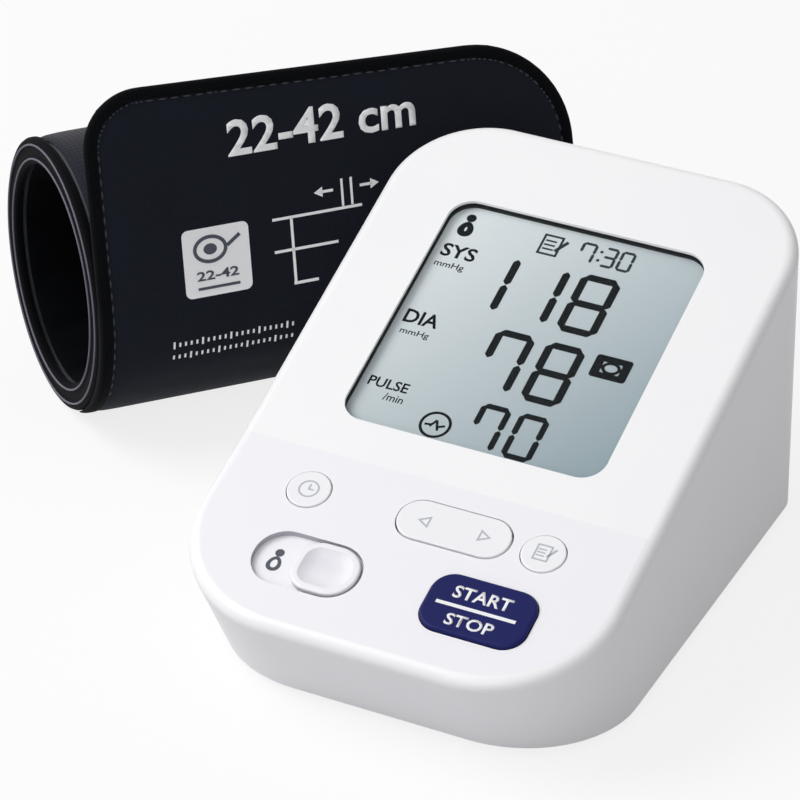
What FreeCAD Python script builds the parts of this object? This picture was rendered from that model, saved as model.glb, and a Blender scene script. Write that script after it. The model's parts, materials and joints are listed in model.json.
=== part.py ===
import FreeCAD, Part
import math
import os
import Sketcher

# Blood pressure monitor: a wedge-shaped desk unit and its arm cuff.
# The frame has X to the right, Y to the back and Z up, with the origin under
# the middle of the unit, on the table. All lengths are in millimetres.

sizes = {
    # shared clearances
    "overrun": 1.0,
    "running_gap": 0.3,
    "full_round_share": 0.98,
    "seat_gap": 0.05,
    "thread_gap": 0.05,
    # upper case: outline at the lower rim, outline at the face, two face panels
    "base_width": 101.8,
    "base_front": 59.7,
    "base_rear": 75.6,
    "base_front_radius": 29.0,
    "base_rear_radius": 10.0,
    "rim_height": 1.6,
    "face_width": 105.0,
    "face_front": 76.0,
    "face_front_radius": 30.0,
    "face_rear_radius": 25.0,
    "lip_height": 27.5,
    "lower_slope": 19.8,
    "lower_length": 51.7,
    "upper_slope": 21.8,
    "upper_length": 108.8,
    "face_stock": 1.0,
    "face_trim_reach": 11.0,
    "face_trim_height": 27.0,
    "face_edge_radius": 2.8,
    "case_wall": 2.2,
    "face_wall": 2.4,
    # case screws and the bosses that take them
    "boss_radius": 3.2,
    "boss_front_inset": 6.7,
    "boss_front_y": 24.0,
    "boss_rear_inset": 9.9,
    "boss_rear_y": 62.0,
    "boss_merge_share": 0.6,
    "case_screw_radius": 1.25,
    "case_screw_grip": 9.0,
    "case_screw_head_radius": 2.6,
    "case_screw_head_height": 1.6,
    # base cover
    "cover_gap": 0.3,
    "cover_thickness": 3.6,
    "cover_rim_width": 3.0,
    "cover_rim_height": 0.8,
    # battery bay, cells and contacts
    "cell_radius": 7.25,
    "cell_length": 50.5,
    "cell_tip_radius": 2.75,
    "cell_tip_length": 1.0,
    "cell_pitch": 15.0,
    "bay_centre_y": -6.0,
    "bay_side_room": 0.5,
    "bay_head_room": 0.4,
    "bay_wall": 1.6,
    "contact_thickness": 0.4,
    "contact_bump": 2.2,
    "contact_bump_radius": 2.4,
    "contact_width": 9.0,
    "contact_height": 9.0,
    # battery door
    "door_thickness": 2.0,
    "door_ledge": 1.6,
    "door_pin_radius": 0.6,
    "door_pin_length": 1.6,
    "door_pin_fit": 0.05,
    "door_grip_width": 16.0,
    "door_grip_depth": 0.8,
    "door_grip_length": 7.0,
    "door_grip_inset": 3.0,
    "door_corner_radius": 2.0,
    # display: window, gasket, glass, frame and connector strips
    "window_side": 19.6,
    "window_height": 70.6,
    "window_start": 11.1,
    "window_radius": 6.0,
    "window_lip": 0.8,
    "window_thickness": 1.0,
    "gasket_thickness": 0.6,
    "glass_margin": 3.0,
    "glass_thickness": 2.0,
    "frame_wall": 1.6,
    "frame_floor": 1.0,
    "frame_foot": 0.8,
    "frame_gap": 0.15,
    "strip_width": 2.4,
    "strip_inset": 2.0,
    "strip_end": 6.0,
    # main board and the pieces on it
    "board_thickness": 1.6,
    "main_board_side": 8.5,
    "main_board_start": 5.0,
    "main_board_end": 88.0,
    "main_board_radius": 3.0,
    "board_post_radius": 2.4,
    "board_post_room": 1.25,
    "board_post_low": 12.0,
    "board_post_high": 80.0,
    "board_screw_radius": 0.9,
    "board_screw_head_radius": 2.0,
    "board_screw_head_height": 1.2,
    "board_screw_grip": 3.0,
    "board_hole_gap": 0.3,
    "buzzer_radius": 6.0,
    "buzzer_height": 3.2,
    "buzzer_x": 22.0,
    "buzzer_along": 30.0,
    "sensor_width": 10.0,
    "sensor_height": 5.0,
    "sensor_along": 65.5,
    # buttons on the lower panel: place across (x) and up the slope (along)
    "button_gap": 0.25,
    "button_flange": 1.0,
    "button_flange_thickness": 1.0,
    "button_flange_gap": 0.15,
    "button_stem_radius": 1.75,
    "button_stem_length": 1.85,
    "button_proud": 0.35,
    "button_edge_radius": 0.3,
    "round_button_radius": 5.2,
    "round_button_x": 29.2,
    "round_button_along": 40.1,
    "start_x": 22.0,
    "start_along": 20.4,
    "start_width": 25.6,
    "start_height": 16.2,
    "start_radius": 5.4,
    "start_proud": 0.9,
    "start_edge_radius": 0.7,
    # rocker
    "rocker_x": 7.2,
    "rocker_along": 40.2,
    "rocker_width": 27.6,
    "rocker_height": 11.2,
    "rocker_radius": 5.5,
    "rocker_gap": 0.4,
    "rocker_depth": 3.0,
    "rocker_stem_x": 8.5,
    "rocker_rib_width": 4.4,
    "rocker_rib_height": 6.0,
    "pivot_radius": 1.0,
    "pivot_depth": 4.4,
    "pivot_length": 7.0,
    "pivot_fit": 0.08,
    # user switch
    "recess_x": -20.3,
    "recess_along": 20.2,
    "recess_width": 26.6,
    "recess_height": 15.3,
    "recess_radius": 7.4,
    "recess_depth": 1.6,
    "knob_width": 15.6,
    "knob_height": 13.8,
    "knob_radius": 6.6,
    "knob_proud": 0.5,
    "knob_end_gap": 0.6,
    "knob_edge_radius": 0.6,
    "knob_stem_width": 3.0,
    "knob_stem_shift": 4.2,
    "knob_stem_height": 3.4,
    "knob_foot_width": 6.4,
    "knob_foot_height": 7.0,
    "knob_foot_thickness": 0.8,
    "knob_stem_length": 2.1,
    "switch_entry": 1.0,
    "switch_height": 8.0,
    "switch_wall": 1.4,
    "switch_slot_depth": 1.6,
    # key mat and key board
    "dome_radius": 2.6,
    "dome_height": 1.2,
    "mat_thickness": 0.6,
    "mat_inset": 1.5,
    "key_board_width": 81.0,
    "key_board_start": 10.0,
    "key_board_end": 47.5,
    "key_board_front_radius": 16.0,
    "key_board_rear_radius": 3.0,
    "key_post_radius": 2.0,
    "key_post_side_x": 37.9,
    "key_post_side_along": 44.2,
    "key_post_mid_x": 0.5,
    "key_post_mid_along": 20.0,
    # pump, valve, manifold and hoses share one centre line along X
    "air_line_y": 44.0,
    "air_line_z": 27.0,
    "nipple_radius": 2.0,
    "hose_radius": 3.2,
    "hose_fit": 0.05,
    "hose_end_gap": 1.0,
    "bend_reach_share": 0.45,
    "valve_side_room": 2.516,
    "motor_side_room": 6.966,
    "wall_rise_share": 0.51,
    "manifold_side": 10.0,
    "manifold_post_radius": 3.0,
    "pump_head_length": 14.0,
    "pump_head_side": 24.0,
    "pump_head_radius": 4.0,
    "motor_radius": 12.0,
    "motor_length": 25.0,
    "motor_boss_radius": 3.0,
    "motor_boss_length": 1.5,
    "cradle_length": 20.0,
    "cradle_width": 22.0,
    "cradle_wrap_share": 0.5,
    "valve_length": 13.0,
    "valve_side": 14.0,
    "valve_radius": 1.5,
    # air jack on the left wall
    "jack_y": -14.0,
    "jack_recess": 0.816,
    "jack_collar_radius": 4.6,
    "jack_length": 13.0,
    "jack_bore_radius": 2.3,
    "jack_bore_depth": 11.0,
    "jack_flange_radius": 7.0,
    "jack_flange_thickness": 1.6,
    "jack_flange_gap": 0.2,
    "jack_fit": 0.1,
    # power jack on the rear wall
    "power_x": -24.0,
    "power_width": 9.0,
    "power_height": 11.0,
    "power_length": 12.0,
    "power_collar_radius": 4.2,
    "power_bore_radius": 2.9,
    "power_bore_depth": 9.0,
    "power_pin_radius": 0.9,
    "power_recess": 1.0,
    # cuff: place of its left end on the table, and its turn about Z
    "cuff_x": -136.5,
    "cuff_y": 30.8,
    "cuff_turn": 48.8,
    "cuff_length": 129.6,
    "cuff_bore_radius": 28.2,
    "cuff_lining": 1.0,
    "cuff_bladder": 3.0,
    "cuff_curler": 0.9,
    "cuff_cloth": 1.9,
    "cuff_layer_gap": 0.1,
    "cuff_binding_width": 3.0,
    "cuff_binding_proud": 0.2,
    "cuff_seam_angle": 205.0,
    "cuff_seam_opening": 2.0,
    "bladder_from": 232.0,
    "bladder_to": 560.0,
    # flap: wraps the front of the roll, leaves it on a tangent and stands free
    "flap_thickness": 3.2,
    "flap_start_angle": 212.0,
    "flap_leave_angle": 166.5,
    "flap_hinge": 11.0,
    "flap_left_edge": 43.2,
    "flap_top_drop": 2.0,
    "flap_left_radius": 15.0,
    "flap_right_radius": 28.0,
    "hook_patch_thickness": 0.7,
    "hook_patch_start": 26.0,
    "hook_patch_height": 16.0,
    "hook_patch_inset": 14.0,
    "hook_patch_width": 84.0,
    "hook_patch_radius": 4.0,
    # hose nipple on the far end of the cuff
    "cuff_nipple_radius": 2.0,
    "cuff_nipple_length": 10.0,
    "cuff_nipple_bore": 1.1,
    "cuff_nipple_angle": 330.0,
    "cuff_nipple_flange": 1.5,
}

# Tolerances of the tests, a quarter turn in degrees, and the signs of the sides.
least_cut_share = 1e-6
least_length = 1e-4
quarter_turn = 90
front, back = -1, 1
left, right = -1, 1

doc = FreeCAD.newDocument("BloodPressureMonitor")
sheet = doc.addObject("Spreadsheet::Sheet", "Sizes")
for row, (alias, value) in enumerate(sizes.items(), start=1):
    sheet.set(f"A{row}", alias)
    sheet.set(f"B{row}", str(value))
    sheet.setAlias(f"B{row}", alias)
doc.recompute()


class Size(float):
    """A length or angle that remembers the sheet expression it comes from."""

    def __new__(cls, value, text):
        size = super().__new__(cls, value)
        size.text = text
        return size

    def __add__(self, other):
        return Size(float(self) + float(other), f"({self.text} + {text_of(other)})")

    def __radd__(self, other):
        return Size(float(other) + float(self), f"({text_of(other)} + {self.text})")

    def __sub__(self, other):
        return Size(float(self) - float(other), f"({self.text} - {text_of(other)})")

    def __rsub__(self, other):
        return Size(float(other) - float(self), f"({text_of(other)} - {self.text})")

    def __mul__(self, other):
        return Size(float(self) * float(other), f"({self.text} * {text_of(other)})")

    def __rmul__(self, other):
        return Size(float(other) * float(self), f"({text_of(other)} * {self.text})")

    def __truediv__(self, other):
        return Size(float(self) / float(other), f"({self.text} / {text_of(other)})")

    def __neg__(self):
        return Size(-float(self), f"(-{self.text})")


def text_of(number):
    return number.text if isinstance(number, Size) else repr(float(number))


def cos(angle):
    return Size(math.cos(math.radians(angle)), f"cos({text_of(angle)})")


def sin(angle):
    return Size(math.sin(math.radians(angle)), f"sin({text_of(angle)})")


def slope_of(rise, run):
    return Size(math.degrees(math.atan2(rise, run)), f"atan2({rise.text}; {run.text})")


def length_of(rise, run):
    return Size(math.hypot(rise, run), f"sqrt({rise.text}^2 + {run.text}^2)")


class Sheet:
    """The sheet's cells by alias, as sizes."""

    def __getattr__(self, alias):
        return Size(sheet.get(alias), f"Sizes.{alias}")


s = Sheet()


def bind(thing, path, size):
    if isinstance(size, Size):
        thing.setExpression(path, size.text)


def place(thing, x=0, y=0, z=0, angle=0, axis=(1, 0, 0), path="Placement"):
    turn = FreeCAD.Rotation(FreeCAD.Vector(*axis), float(angle))
    spot = FreeCAD.Vector(float(x), float(y), float(z))
    setattr(thing, path, FreeCAD.Placement(spot, turn))
    for letter, size in zip("xyz", (x, y, z)):
        bind(thing, f"{path}.Base.{letter}", size)
    bind(thing, f"{path}.Rotation.Angle", angle)


class Frame:
    """A sloping work plane: it starts on the line (y, z) and rises towards the back."""

    def __init__(self, y, z, slope):
        self.y = y
        self.z = z
        self.slope = slope

    def point(self, along, height):
        """Where a point of the plane lies in Y and Z, some height above it."""
        y = self.y + along * cos(self.slope) - height * sin(self.slope)
        z = self.z + along * sin(self.slope) + height * cos(self.slope)
        return y, z

    def place(self, thing, x=0, along=0, height=0, path="Placement"):
        y, z = self.point(along, height)
        place(thing, x, y, z, self.slope, path=path)


class Outline:
    """A closed outline of straight sides; a corner is (x, y) or (x, y, radius)."""

    def __init__(self, *corners):
        self.corners = [corner if len(corner) == 3 else (*corner, None) for corner in corners]

    def pin(self, sketch, part, end, x, y):
        """Fix one end of a sketch element at its place from the sketch's origin."""
        for kind, value, axis in (("DistanceX", x, -2), ("DistanceY", y, -1)):
            if not isinstance(value, Size):
                sketch.addConstraint(Sketcher.Constraint("PointOnObject", part, end, axis))
                continue
            if value < 0:
                rule = Sketcher.Constraint(kind, part, end, -1, 1, -float(value))
                value = -value
            else:
                rule = Sketcher.Constraint(kind, -1, 1, part, end, float(value))
            number = sketch.addConstraint(rule)
            sketch.setExpression(f"Constraints[{number}]", value.text)

    def draw(self, sketch):
        corners = [FreeCAD.Vector(float(x), float(y), 0) for x, y, radius in self.corners]
        count = len(corners)
        ends = []
        for number, here in enumerate(corners):
            before = (corners[number - 1] - here).normalize()
            after = (corners[(number + 1) % count] - here).normalize()
            radius = self.corners[number][2]
            half = before.getAngle(after) / 2
            reach = float(radius) / math.tan(half) if radius is not None else 0.0
            middle = (before + after).normalize() * (reach / math.cos(half)) + here
            ends.append((here + before * reach, here + after * reach, middle))
        guides = []
        for number in range(count):
            line = Part.LineSegment(corners[number], corners[(number + 1) % count])
            guides.append(sketch.addGeometry(line, True))
        lines = []
        for number in range(count):
            line = Part.LineSegment(ends[number][1], ends[(number + 1) % count][0])
            lines.append(sketch.addGeometry(line, False))
        for number in range(count):
            guide_end = guides[number - 1]
            sketch.addConstraint(Sketcher.Constraint("Coincident", guide_end, 2, guides[number], 1))
            x, y, radius = self.corners[number]
            self.pin(sketch, guides[number], 1, x, y)
            if radius is None:
                for line, end in ((lines[number - 1], 2), (lines[number], 1)):
                    sketch.addConstraint(Sketcher.Constraint("Coincident", line, end, guides[number], 1))
                continue
            self.round_corner(sketch, number, ends[number], guides, lines, radius)

    def round_corner(self, sketch, number, ends, guides, lines, radius):
        first, last, middle = ends
        circle = Part.Circle(middle, FreeCAD.Vector(0, 0, 1), float(radius))
        start = math.atan2(first.y - middle.y, first.x - middle.x)
        stop = math.atan2(last.y - middle.y, last.x - middle.x)
        arc = sketch.addGeometry(Part.ArcOfCircle(circle, start, stop), False)
        sketch.addConstraint(Sketcher.Constraint("Tangent", lines[number - 1], 2, arc, 1))
        sketch.addConstraint(Sketcher.Constraint("Tangent", arc, 2, lines[number], 1))
        sketch.addConstraint(Sketcher.Constraint("PointOnObject", lines[number - 1], 2, guides[number - 1]))
        sketch.addConstraint(Sketcher.Constraint("PointOnObject", lines[number], 1, guides[number]))
        rule = sketch.addConstraint(Sketcher.Constraint("Radius", arc, float(radius)))
        sketch.setExpression(f"Constraints[{rule}]", radius.text)


class Ring(Outline):
    """Part of a ring about a centre, from one angle round to another, in degrees."""

    def __init__(self, y, z, inner, outer, start, stop):
        self.centre = (y, z)
        self.radii = (inner, outer)
        self.angles = (start, stop)

    def draw(self, sketch):
        y, z = self.centre
        inner, outer = self.radii
        middle = FreeCAD.Vector(float(y), float(z), 0)
        start, stop = (math.radians(angle) for angle in self.angles)
        arcs = []
        for radius in (outer, inner):
            circle = Part.Circle(middle, FreeCAD.Vector(0, 0, 1), float(radius))
            arcs.append(sketch.addGeometry(Part.ArcOfCircle(circle, start, stop), False))
            rule = sketch.addConstraint(Sketcher.Constraint("Radius", arcs[-1], float(radius)))
            sketch.setExpression(f"Constraints[{rule}]", radius.text)
        self.pin(sketch, arcs[0], 3, y, z)
        sketch.addConstraint(Sketcher.Constraint("Coincident", arcs[1], 3, arcs[0], 3))
        for end, angle in ((1, self.angles[0]), (2, self.angles[1])):
            ray = FreeCAD.Vector(math.cos(math.radians(angle)), math.sin(math.radians(angle)), 0)
            side = Part.LineSegment(middle + ray * float(inner), middle + ray * float(outer))
            line = sketch.addGeometry(side, False)
            sketch.addConstraint(Sketcher.Constraint("Coincident", line, 1, arcs[1], end))
            sketch.addConstraint(Sketcher.Constraint("Coincident", line, 2, arcs[0], end))
            spoke = sketch.addGeometry(Part.LineSegment(middle, middle + ray * float(inner)), True)
            sketch.addConstraint(Sketcher.Constraint("Coincident", spoke, 1, arcs[0], 3))
            sketch.addConstraint(Sketcher.Constraint("Coincident", spoke, 2, arcs[1], end))
            sketch.addConstraint(Sketcher.Constraint("Parallel", spoke, line))
            turn = math.radians((float(angle) + 180) % 360 - 180)
            rule = sketch.addConstraint(Sketcher.Constraint("Angle", spoke, turn))
            sketch.setExpression(f"Constraints[{rule}]", f"mod({angle.text} + 180; 360) - 180")


class Disc(Outline):
    """A round outline."""

    def __init__(self, x, y, radius):
        self.spot = (x, y)
        self.radius = radius

    def draw(self, sketch):
        x, y = self.spot
        middle = FreeCAD.Vector(float(x), float(y), 0)
        circle = Part.Circle(middle, FreeCAD.Vector(0, 0, 1), float(self.radius))
        part = sketch.addGeometry(circle, False)
        rule = sketch.addConstraint(Sketcher.Constraint("Radius", part, float(self.radius)))
        sketch.setExpression(f"Constraints[{rule}]", self.radius.text)
        self.pin(sketch, part, 3, x, y)


def block(width, low, high, low_radius=None, high_radius=None, x=0):
    """A rectangle about x, from low to high, with its corners rounded by pairs."""
    near = x - width / 2
    far = x + width / 2
    if high_radius is None:
        high_radius = low_radius
    return Outline((near, low, low_radius), (far, low, low_radius),
                   (far, high, high_radius), (near, high, high_radius))


def stub(width, height, x, y, radius=None):
    """A rectangle about the point (x, y)."""
    return block(width, y - height / 2, y + height / 2, radius, x=x)


def new_body(label):
    body = doc.addObject("PartDesign::Body", label)
    body.Label = label
    return body


def sketch_in(body, outline, plane="XY_Plane", frame=None, height=0):
    """A sketch of the outline on one of the body's planes, or on a sloping frame."""
    sketch = body.newObject("Sketcher::SketchObject", f"{body.Label}_outline")
    support = next(part for part in body.Origin.OriginFeatures if part.Role == plane)
    sketch.AttachmentSupport = [(support, "")]
    sketch.MapMode = "FlatFace"
    if frame is None:
        place(sketch, z=height, path="AttachmentOffset")
    else:
        frame.place(sketch, height=height, path="AttachmentOffset")
    outline.draw(sketch)
    return sketch


def pad(body, outline, low, high, plane="XY_Plane", frame=None):
    """Add the outline's prism, from the height low to the height high."""
    feature = body.newObject("PartDesign::Pad", f"{body.Label}_pad")
    feature.Profile = sketch_in(body, outline, plane, frame, low)
    bind(feature, "Length", high - low)
    return feature


def pocket(body, outline, high, low, plane="XY_Plane", frame=None):
    """Take the outline's prism away, from the height high down to the height low."""
    feature = body.newObject("PartDesign::Pocket", f"{body.Label}_pocket")
    feature.Profile = sketch_in(body, outline, plane, frame, high)
    bind(feature, "Length", high - low)
    return feature


def prism(label, outline, low, high, frame=None, plane="XY_Plane"):
    body = new_body(label)
    pad(body, outline, low, high, plane, frame)
    return body


def cylinder(label, radius, length, x=0, y=0, z=0, angle=0, axis=(1, 0, 0)):
    """A round bar that starts at (x, y, z) and points up, or where the turn points it."""
    bar = doc.addObject("Part::Cylinder", label)
    bind(bar, "Radius", radius)
    bind(bar, "Height", length)
    place(bar, x, y, z, angle, axis)
    return bar


def bar_along_x(label, radius, start, stop, y, z):
    return cylinder(label, radius, stop - start, start, y, z, quarter_turn, (0, 1, 0))


def bar_along_y(label, radius, start, stop, x, z):
    return cylinder(label, radius, stop - start, x, start, z, -quarter_turn, (1, 0, 0))


def box(label, x, y, z):
    """A box between the limits given by three pairs."""
    part = doc.addObject("Part::Box", label)
    for path, (low, high) in zip(("Length", "Width", "Height"), (x, y, z)):
        bind(part, path, high - low)
    place(part, x[0], y[0], z[0])
    return part


def fuse(label, parts):
    joined = doc.addObject("Part::MultiFuse", label)
    joined.Shapes = parts
    joined.Label = label
    return joined


def group(label, parts):
    """Separate solids that share one node."""
    together = doc.addObject("Part::Compound", label)
    together.Links = parts
    together.Label = label
    return together


def cut(label, part, tools):
    rest = doc.addObject("Part::Cut", label)
    rest.Base = part
    rest.Tool = tools[0] if len(tools) == 1 else fuse(f"{label}_tools", tools)
    rest.Label = label
    return rest


def round_edges(part, radius, wanted):
    """Round the edges of a body's tip that the test picks out."""
    doc.recompute()
    tip = part.Tip
    names = [f"Edge{number}" for number, edge in enumerate(tip.Shape.Edges, start=1) if wanted(edge)]
    feature = part.newObject("PartDesign::Fillet", f"{part.Label}_round")
    feature.Base = (tip, names)
    bind(feature, "Radius", radius)
    return feature


def lies_at(height):
    """A test for edges that lie flat at one height of their body."""
    def test(edge):
        box_of = edge.BoundBox
        return abs(box_of.ZMin - height) < least_length and abs(box_of.ZMax - height) < least_length
    return test


# Work planes. The lower panel starts at the front lip, the upper at the crease.
lower_panel = Frame(-s.face_front, s.lip_height, s.lower_slope)
upper_panel = Frame(*lower_panel.point(s.lower_length, 0), s.upper_slope)
rise = s.lower_length * sin(s.lower_slope) + s.upper_length * sin(s.upper_slope)
run = s.lower_length * cos(s.lower_slope) + s.upper_length * cos(s.upper_slope)
face_chord = Frame(-s.face_front, s.lip_height, slope_of(rise, run))
face_length = length_of(rise, run)


def wedge(label, side_wall, top_wall):
    """The wedge form of the case, set in by a wall at the sides and at the face."""
    body = new_body(label)
    low = block(s.base_width - side_wall * 2, side_wall - s.base_front, s.base_rear - side_wall,
                s.base_front_radius - side_wall, s.base_rear_radius - side_wall)
    high = block(s.face_width - side_wall * 2, side_wall, face_length - side_wall,
                 s.face_front_radius - side_wall, s.face_rear_radius - side_wall)
    loft = body.newObject("PartDesign::AdditiveLoft", f"{label}_walls")
    loft.Profile = sketch_in(body, low, height=s.rim_height)
    loft.Sections = [sketch_in(body, high, frame=face_chord, height=s.face_stock)]
    loft.Ruled = True
    reach = s.face_trim_reach
    tall = s.face_trim_height
    corners = [lower_panel.point(-reach, -top_wall), upper_panel.point(0, -top_wall),
               upper_panel.point(s.upper_length + reach, -top_wall),
               upper_panel.point(s.upper_length + reach, tall), lower_panel.point(-reach, tall)]
    trim = body.newObject("PartDesign::Pocket", f"{label}_face")
    trim.Profile = sketch_in(body, Outline(*corners), "YZ_Plane")
    trim.SideType = "Symmetric"
    bind(trim, "Length", s.face_width * 2)
    return body


def on_face(edge):
    """A test for the edges round the face, without the crease between its panels."""
    spots = [edge.valueAt(edge.FirstParameter), edge.valueAt(edge.LastParameter)]
    on_panels = []
    for panel in (lower_panel, upper_panel):
        up = FreeCAD.Vector(0, -math.sin(math.radians(panel.slope)), math.cos(math.radians(panel.slope)))
        start = FreeCAD.Vector(0, float(panel.y), float(panel.z))
        on_panels.append(all(abs((spot - start).dot(up)) < least_length for spot in spots))
    return any(on_panels) and not all(on_panels)


def panel_post(label, panel, radius, x, along, low, high):
    """A round post that stands square to a panel."""
    post = doc.addObject("Part::Cylinder", label)
    bind(post, "Radius", radius)
    bind(post, "Height", high - low)
    panel.place(post, x, along, low)
    return post


def screw(label, panel, x, along, seat, radius, grip, head_radius, head_height):
    """A screw driven from below a panel, its head under the height of its seat."""
    shank = panel_post(f"{label}_shank", panel, radius, x, along, seat - s.seat_gap, seat + grip)
    head = panel_post(f"{label}_head", panel, head_radius, x, along, seat - s.seat_gap - head_height,
                      seat - s.seat_gap)
    return fuse(label, [shank, head])


table = Frame(0, 0, 0)

# Heights in the stack behind the display, measured from the face of the upper panel.
window_top = -(s.window_lip + s.seat_gap)
window_low = window_top - s.window_thickness
gasket_top = window_low - s.seat_gap
gasket_low = gasket_top - s.gasket_thickness
glass_top = gasket_low - s.seat_gap
glass_low = glass_top - s.glass_thickness
floor_top = glass_low - s.seat_gap
floor_low = floor_top - s.frame_floor
frame_low = floor_low - s.frame_foot
main_board_top = frame_low - s.seat_gap
main_board_low = main_board_top - s.board_thickness

# Heights in the stack behind the buttons, measured from the face of the lower panel.
flange_top = -(s.face_wall + s.button_flange_gap)
flange_low = flange_top - s.button_flange_thickness
stem_low = flange_low - s.button_stem_length
dome_top = stem_low - s.seat_gap
mat_top = dome_top - s.dome_height
mat_low = mat_top - s.mat_thickness
key_board_top = mat_low - s.seat_gap
key_board_low = key_board_top - s.board_thickness
through_face = -(s.face_wall + s.overrun)

# Outlines that more than one piece shares.
window_end = s.window_start + s.window_height
window_width = s.face_width - s.window_side * 2
glass_width = window_width + s.glass_margin * 2
glass_start = s.window_start - s.glass_margin
glass_end = window_end + s.glass_margin
window_outline = block(window_width, s.window_start, window_end, s.window_radius)


def glass_outline(room):
    return block(glass_width + room * 2, glass_start - room, glass_end + room)


knob_shift = (s.recess_width - s.knob_width) / 2 - s.knob_end_gap
knob_travel = knob_shift * 2
slot_x = s.recess_x + s.knob_stem_shift
slot_width = knob_travel + s.knob_stem_width + s.running_gap * 2
slot_height = s.knob_stem_height + s.running_gap * 2
switch_width = slot_width + s.switch_wall * 2
rocker_stems = [s.rocker_x - s.rocker_stem_x, s.rocker_x + s.rocker_stem_x]
board_post_x = glass_width / 2 + s.frame_gap + s.frame_wall + s.board_post_room + s.board_post_radius
main_posts = [(side * board_post_x, along) for side in (left, right)
              for along in (s.board_post_low, s.board_post_high)]
key_posts = [(side * s.key_post_side_x, s.key_post_side_along) for side in (left, right)]
key_posts.append((s.key_post_mid_x, s.key_post_mid_along))
narrow_half = min(s.base_width, s.face_width) / 2
wide_half = max(s.base_width, s.face_width) / 2
bosses = [(side * (narrow_half - s.boss_front_inset), -s.boss_front_y, upper_panel) for side in (left, right)]
bosses += [(side * (narrow_half - s.boss_rear_inset), s.boss_rear_y, upper_panel) for side in (left, right)]

# The side walls lean, so the height of the air line sets how wide the case is there.
wall_half = s.base_width / 2 + (s.face_width - s.base_width) / 2 * s.wall_rise_share
wall_height = (s.air_line_z - s.rim_height) / s.wall_rise_share
lean_at_flange = (wide_half - narrow_half) * (s.jack_flange_radius / wall_height)


def upper_case():
    """White shell: side walls, bent face, openings, posts for the boards, screw bosses."""
    form = wedge("case_form", 0, 0)
    round_edges(form, s.face_edge_radius, on_face)
    shell = cut("case_shell", form, [wedge("case_cavity", s.case_wall, s.face_wall)])
    solids = [shell]
    holes = [prism("window_opening", window_outline, through_face, s.overrun, upper_panel),
             prism("window_rebate", glass_outline(s.frame_gap), through_face, -s.window_lip, upper_panel)]
    for number, (x, along) in enumerate(main_posts):
        solids.append(panel_post(f"board_post_{number}", upper_panel, s.board_post_radius, x, along,
                                 main_board_top + s.seat_gap, -s.face_wall / 2))
        holes.append(panel_post(f"board_pilot_{number}", upper_panel, s.board_screw_radius + s.thread_gap, x,
                                along, main_board_top, main_board_low + s.board_screw_grip + s.overrun))
    for number, (x, along) in enumerate(key_posts):
        solids.append(panel_post(f"key_post_{number}", lower_panel, s.key_post_radius, x, along,
                                 key_board_top + s.seat_gap, -s.face_wall / 2))
        holes.append(panel_post(f"key_pilot_{number}", lower_panel, s.board_screw_radius + s.thread_gap, x,
                                along, key_board_top, key_board_low + s.board_screw_grip + s.overrun))
    for number, (x, y, panel) in enumerate(bosses):
        low = s.cover_thickness + s.seat_gap
        rise_here = (y - panel.y) * sin(panel.slope) - s.face_wall * s.boss_merge_share
        high = panel.z + rise_here / cos(panel.slope)
        solids.append(cylinder(f"boss_{number}", s.boss_radius, high - low, x, y, low))
        holes.append(cylinder(f"boss_pilot_{number}", s.case_screw_radius + s.thread_gap,
                              s.case_screw_grip + s.overrun * 2, x, y, low - s.overrun))
    for number, side in enumerate((left, right)):
        spot = Disc(side * s.round_button_x, s.round_button_along, s.round_button_radius + s.button_gap)
        holes.append(prism(f"round_hole_{number}", spot, through_face, s.overrun, lower_panel))
    start = stub(s.start_width + s.button_gap * 2, s.start_height + s.button_gap * 2, s.start_x,
                 s.start_along, s.start_radius + s.button_gap)
    rocker = stub(s.rocker_width + s.rocker_gap * 2, s.rocker_height + s.rocker_gap * 2, s.rocker_x,
                  s.rocker_along, s.rocker_radius + s.rocker_gap)
    recess = stub(s.recess_width, s.recess_height, s.recess_x, s.recess_along, s.recess_radius)
    slot = stub(slot_width, slot_height, slot_x, s.recess_along)
    holes.append(prism("start_hole", start, through_face, s.overrun, lower_panel))
    holes.append(prism("rocker_hole", rocker, through_face, s.overrun, lower_panel))
    holes.append(prism("switch_recess", recess, -s.recess_depth, s.overrun, lower_panel))
    holes.append(prism("switch_slot", slot, through_face, s.overrun, lower_panel))
    holes.append(bar_along_x("jack_hole", s.jack_collar_radius + s.jack_fit, -wall_half - s.overrun,
                             -wall_half + s.case_wall * 2, s.jack_y, s.air_line_z))
    holes.append(bar_along_y("power_hole", s.power_collar_radius + s.jack_fit, power_body_end,
                             s.base_rear + s.overrun, s.power_x, power_z))
    return cut("upper_case", fuse("case_with_posts", solids), holes)


# Battery bay: the cells lie across the unit, side by side.
cell_count = 4
middle_cell = (cell_count - 1) / 2
bay_half_x = s.cell_length / 2 + s.contact_bump + s.contact_thickness + s.seat_gap * 2
bay_half_y = s.cell_pitch * middle_cell + s.cell_radius + s.bay_side_room
bay_front = s.bay_centre_y - bay_half_y
bay_rear = s.bay_centre_y + bay_half_y
door_top = s.cover_rim_height + s.door_thickness
hatch_top = door_top + s.running_gap
cell_z = hatch_top + s.cell_radius
bay_ceiling = cell_z + s.cell_radius + s.bay_head_room
bay_top = bay_ceiling + s.bay_wall
cell_rows = [s.bay_centre_y + s.cell_pitch * (number - middle_cell) for number in range(cell_count)]
door_axis_y = bay_rear + s.door_ledge - s.running_gap - s.door_thickness / 2
door_axis_z = s.cover_rim_height + s.door_thickness / 2
hatch_half_x = bay_half_x + s.door_ledge
screw_seat = s.cover_rim_height + s.case_screw_head_height
power_z = s.cover_thickness + s.seat_gap + s.power_height / 2
power_body_end = s.base_rear - s.case_wall - s.power_recess
manifold_half = s.manifold_side / 2

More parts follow.
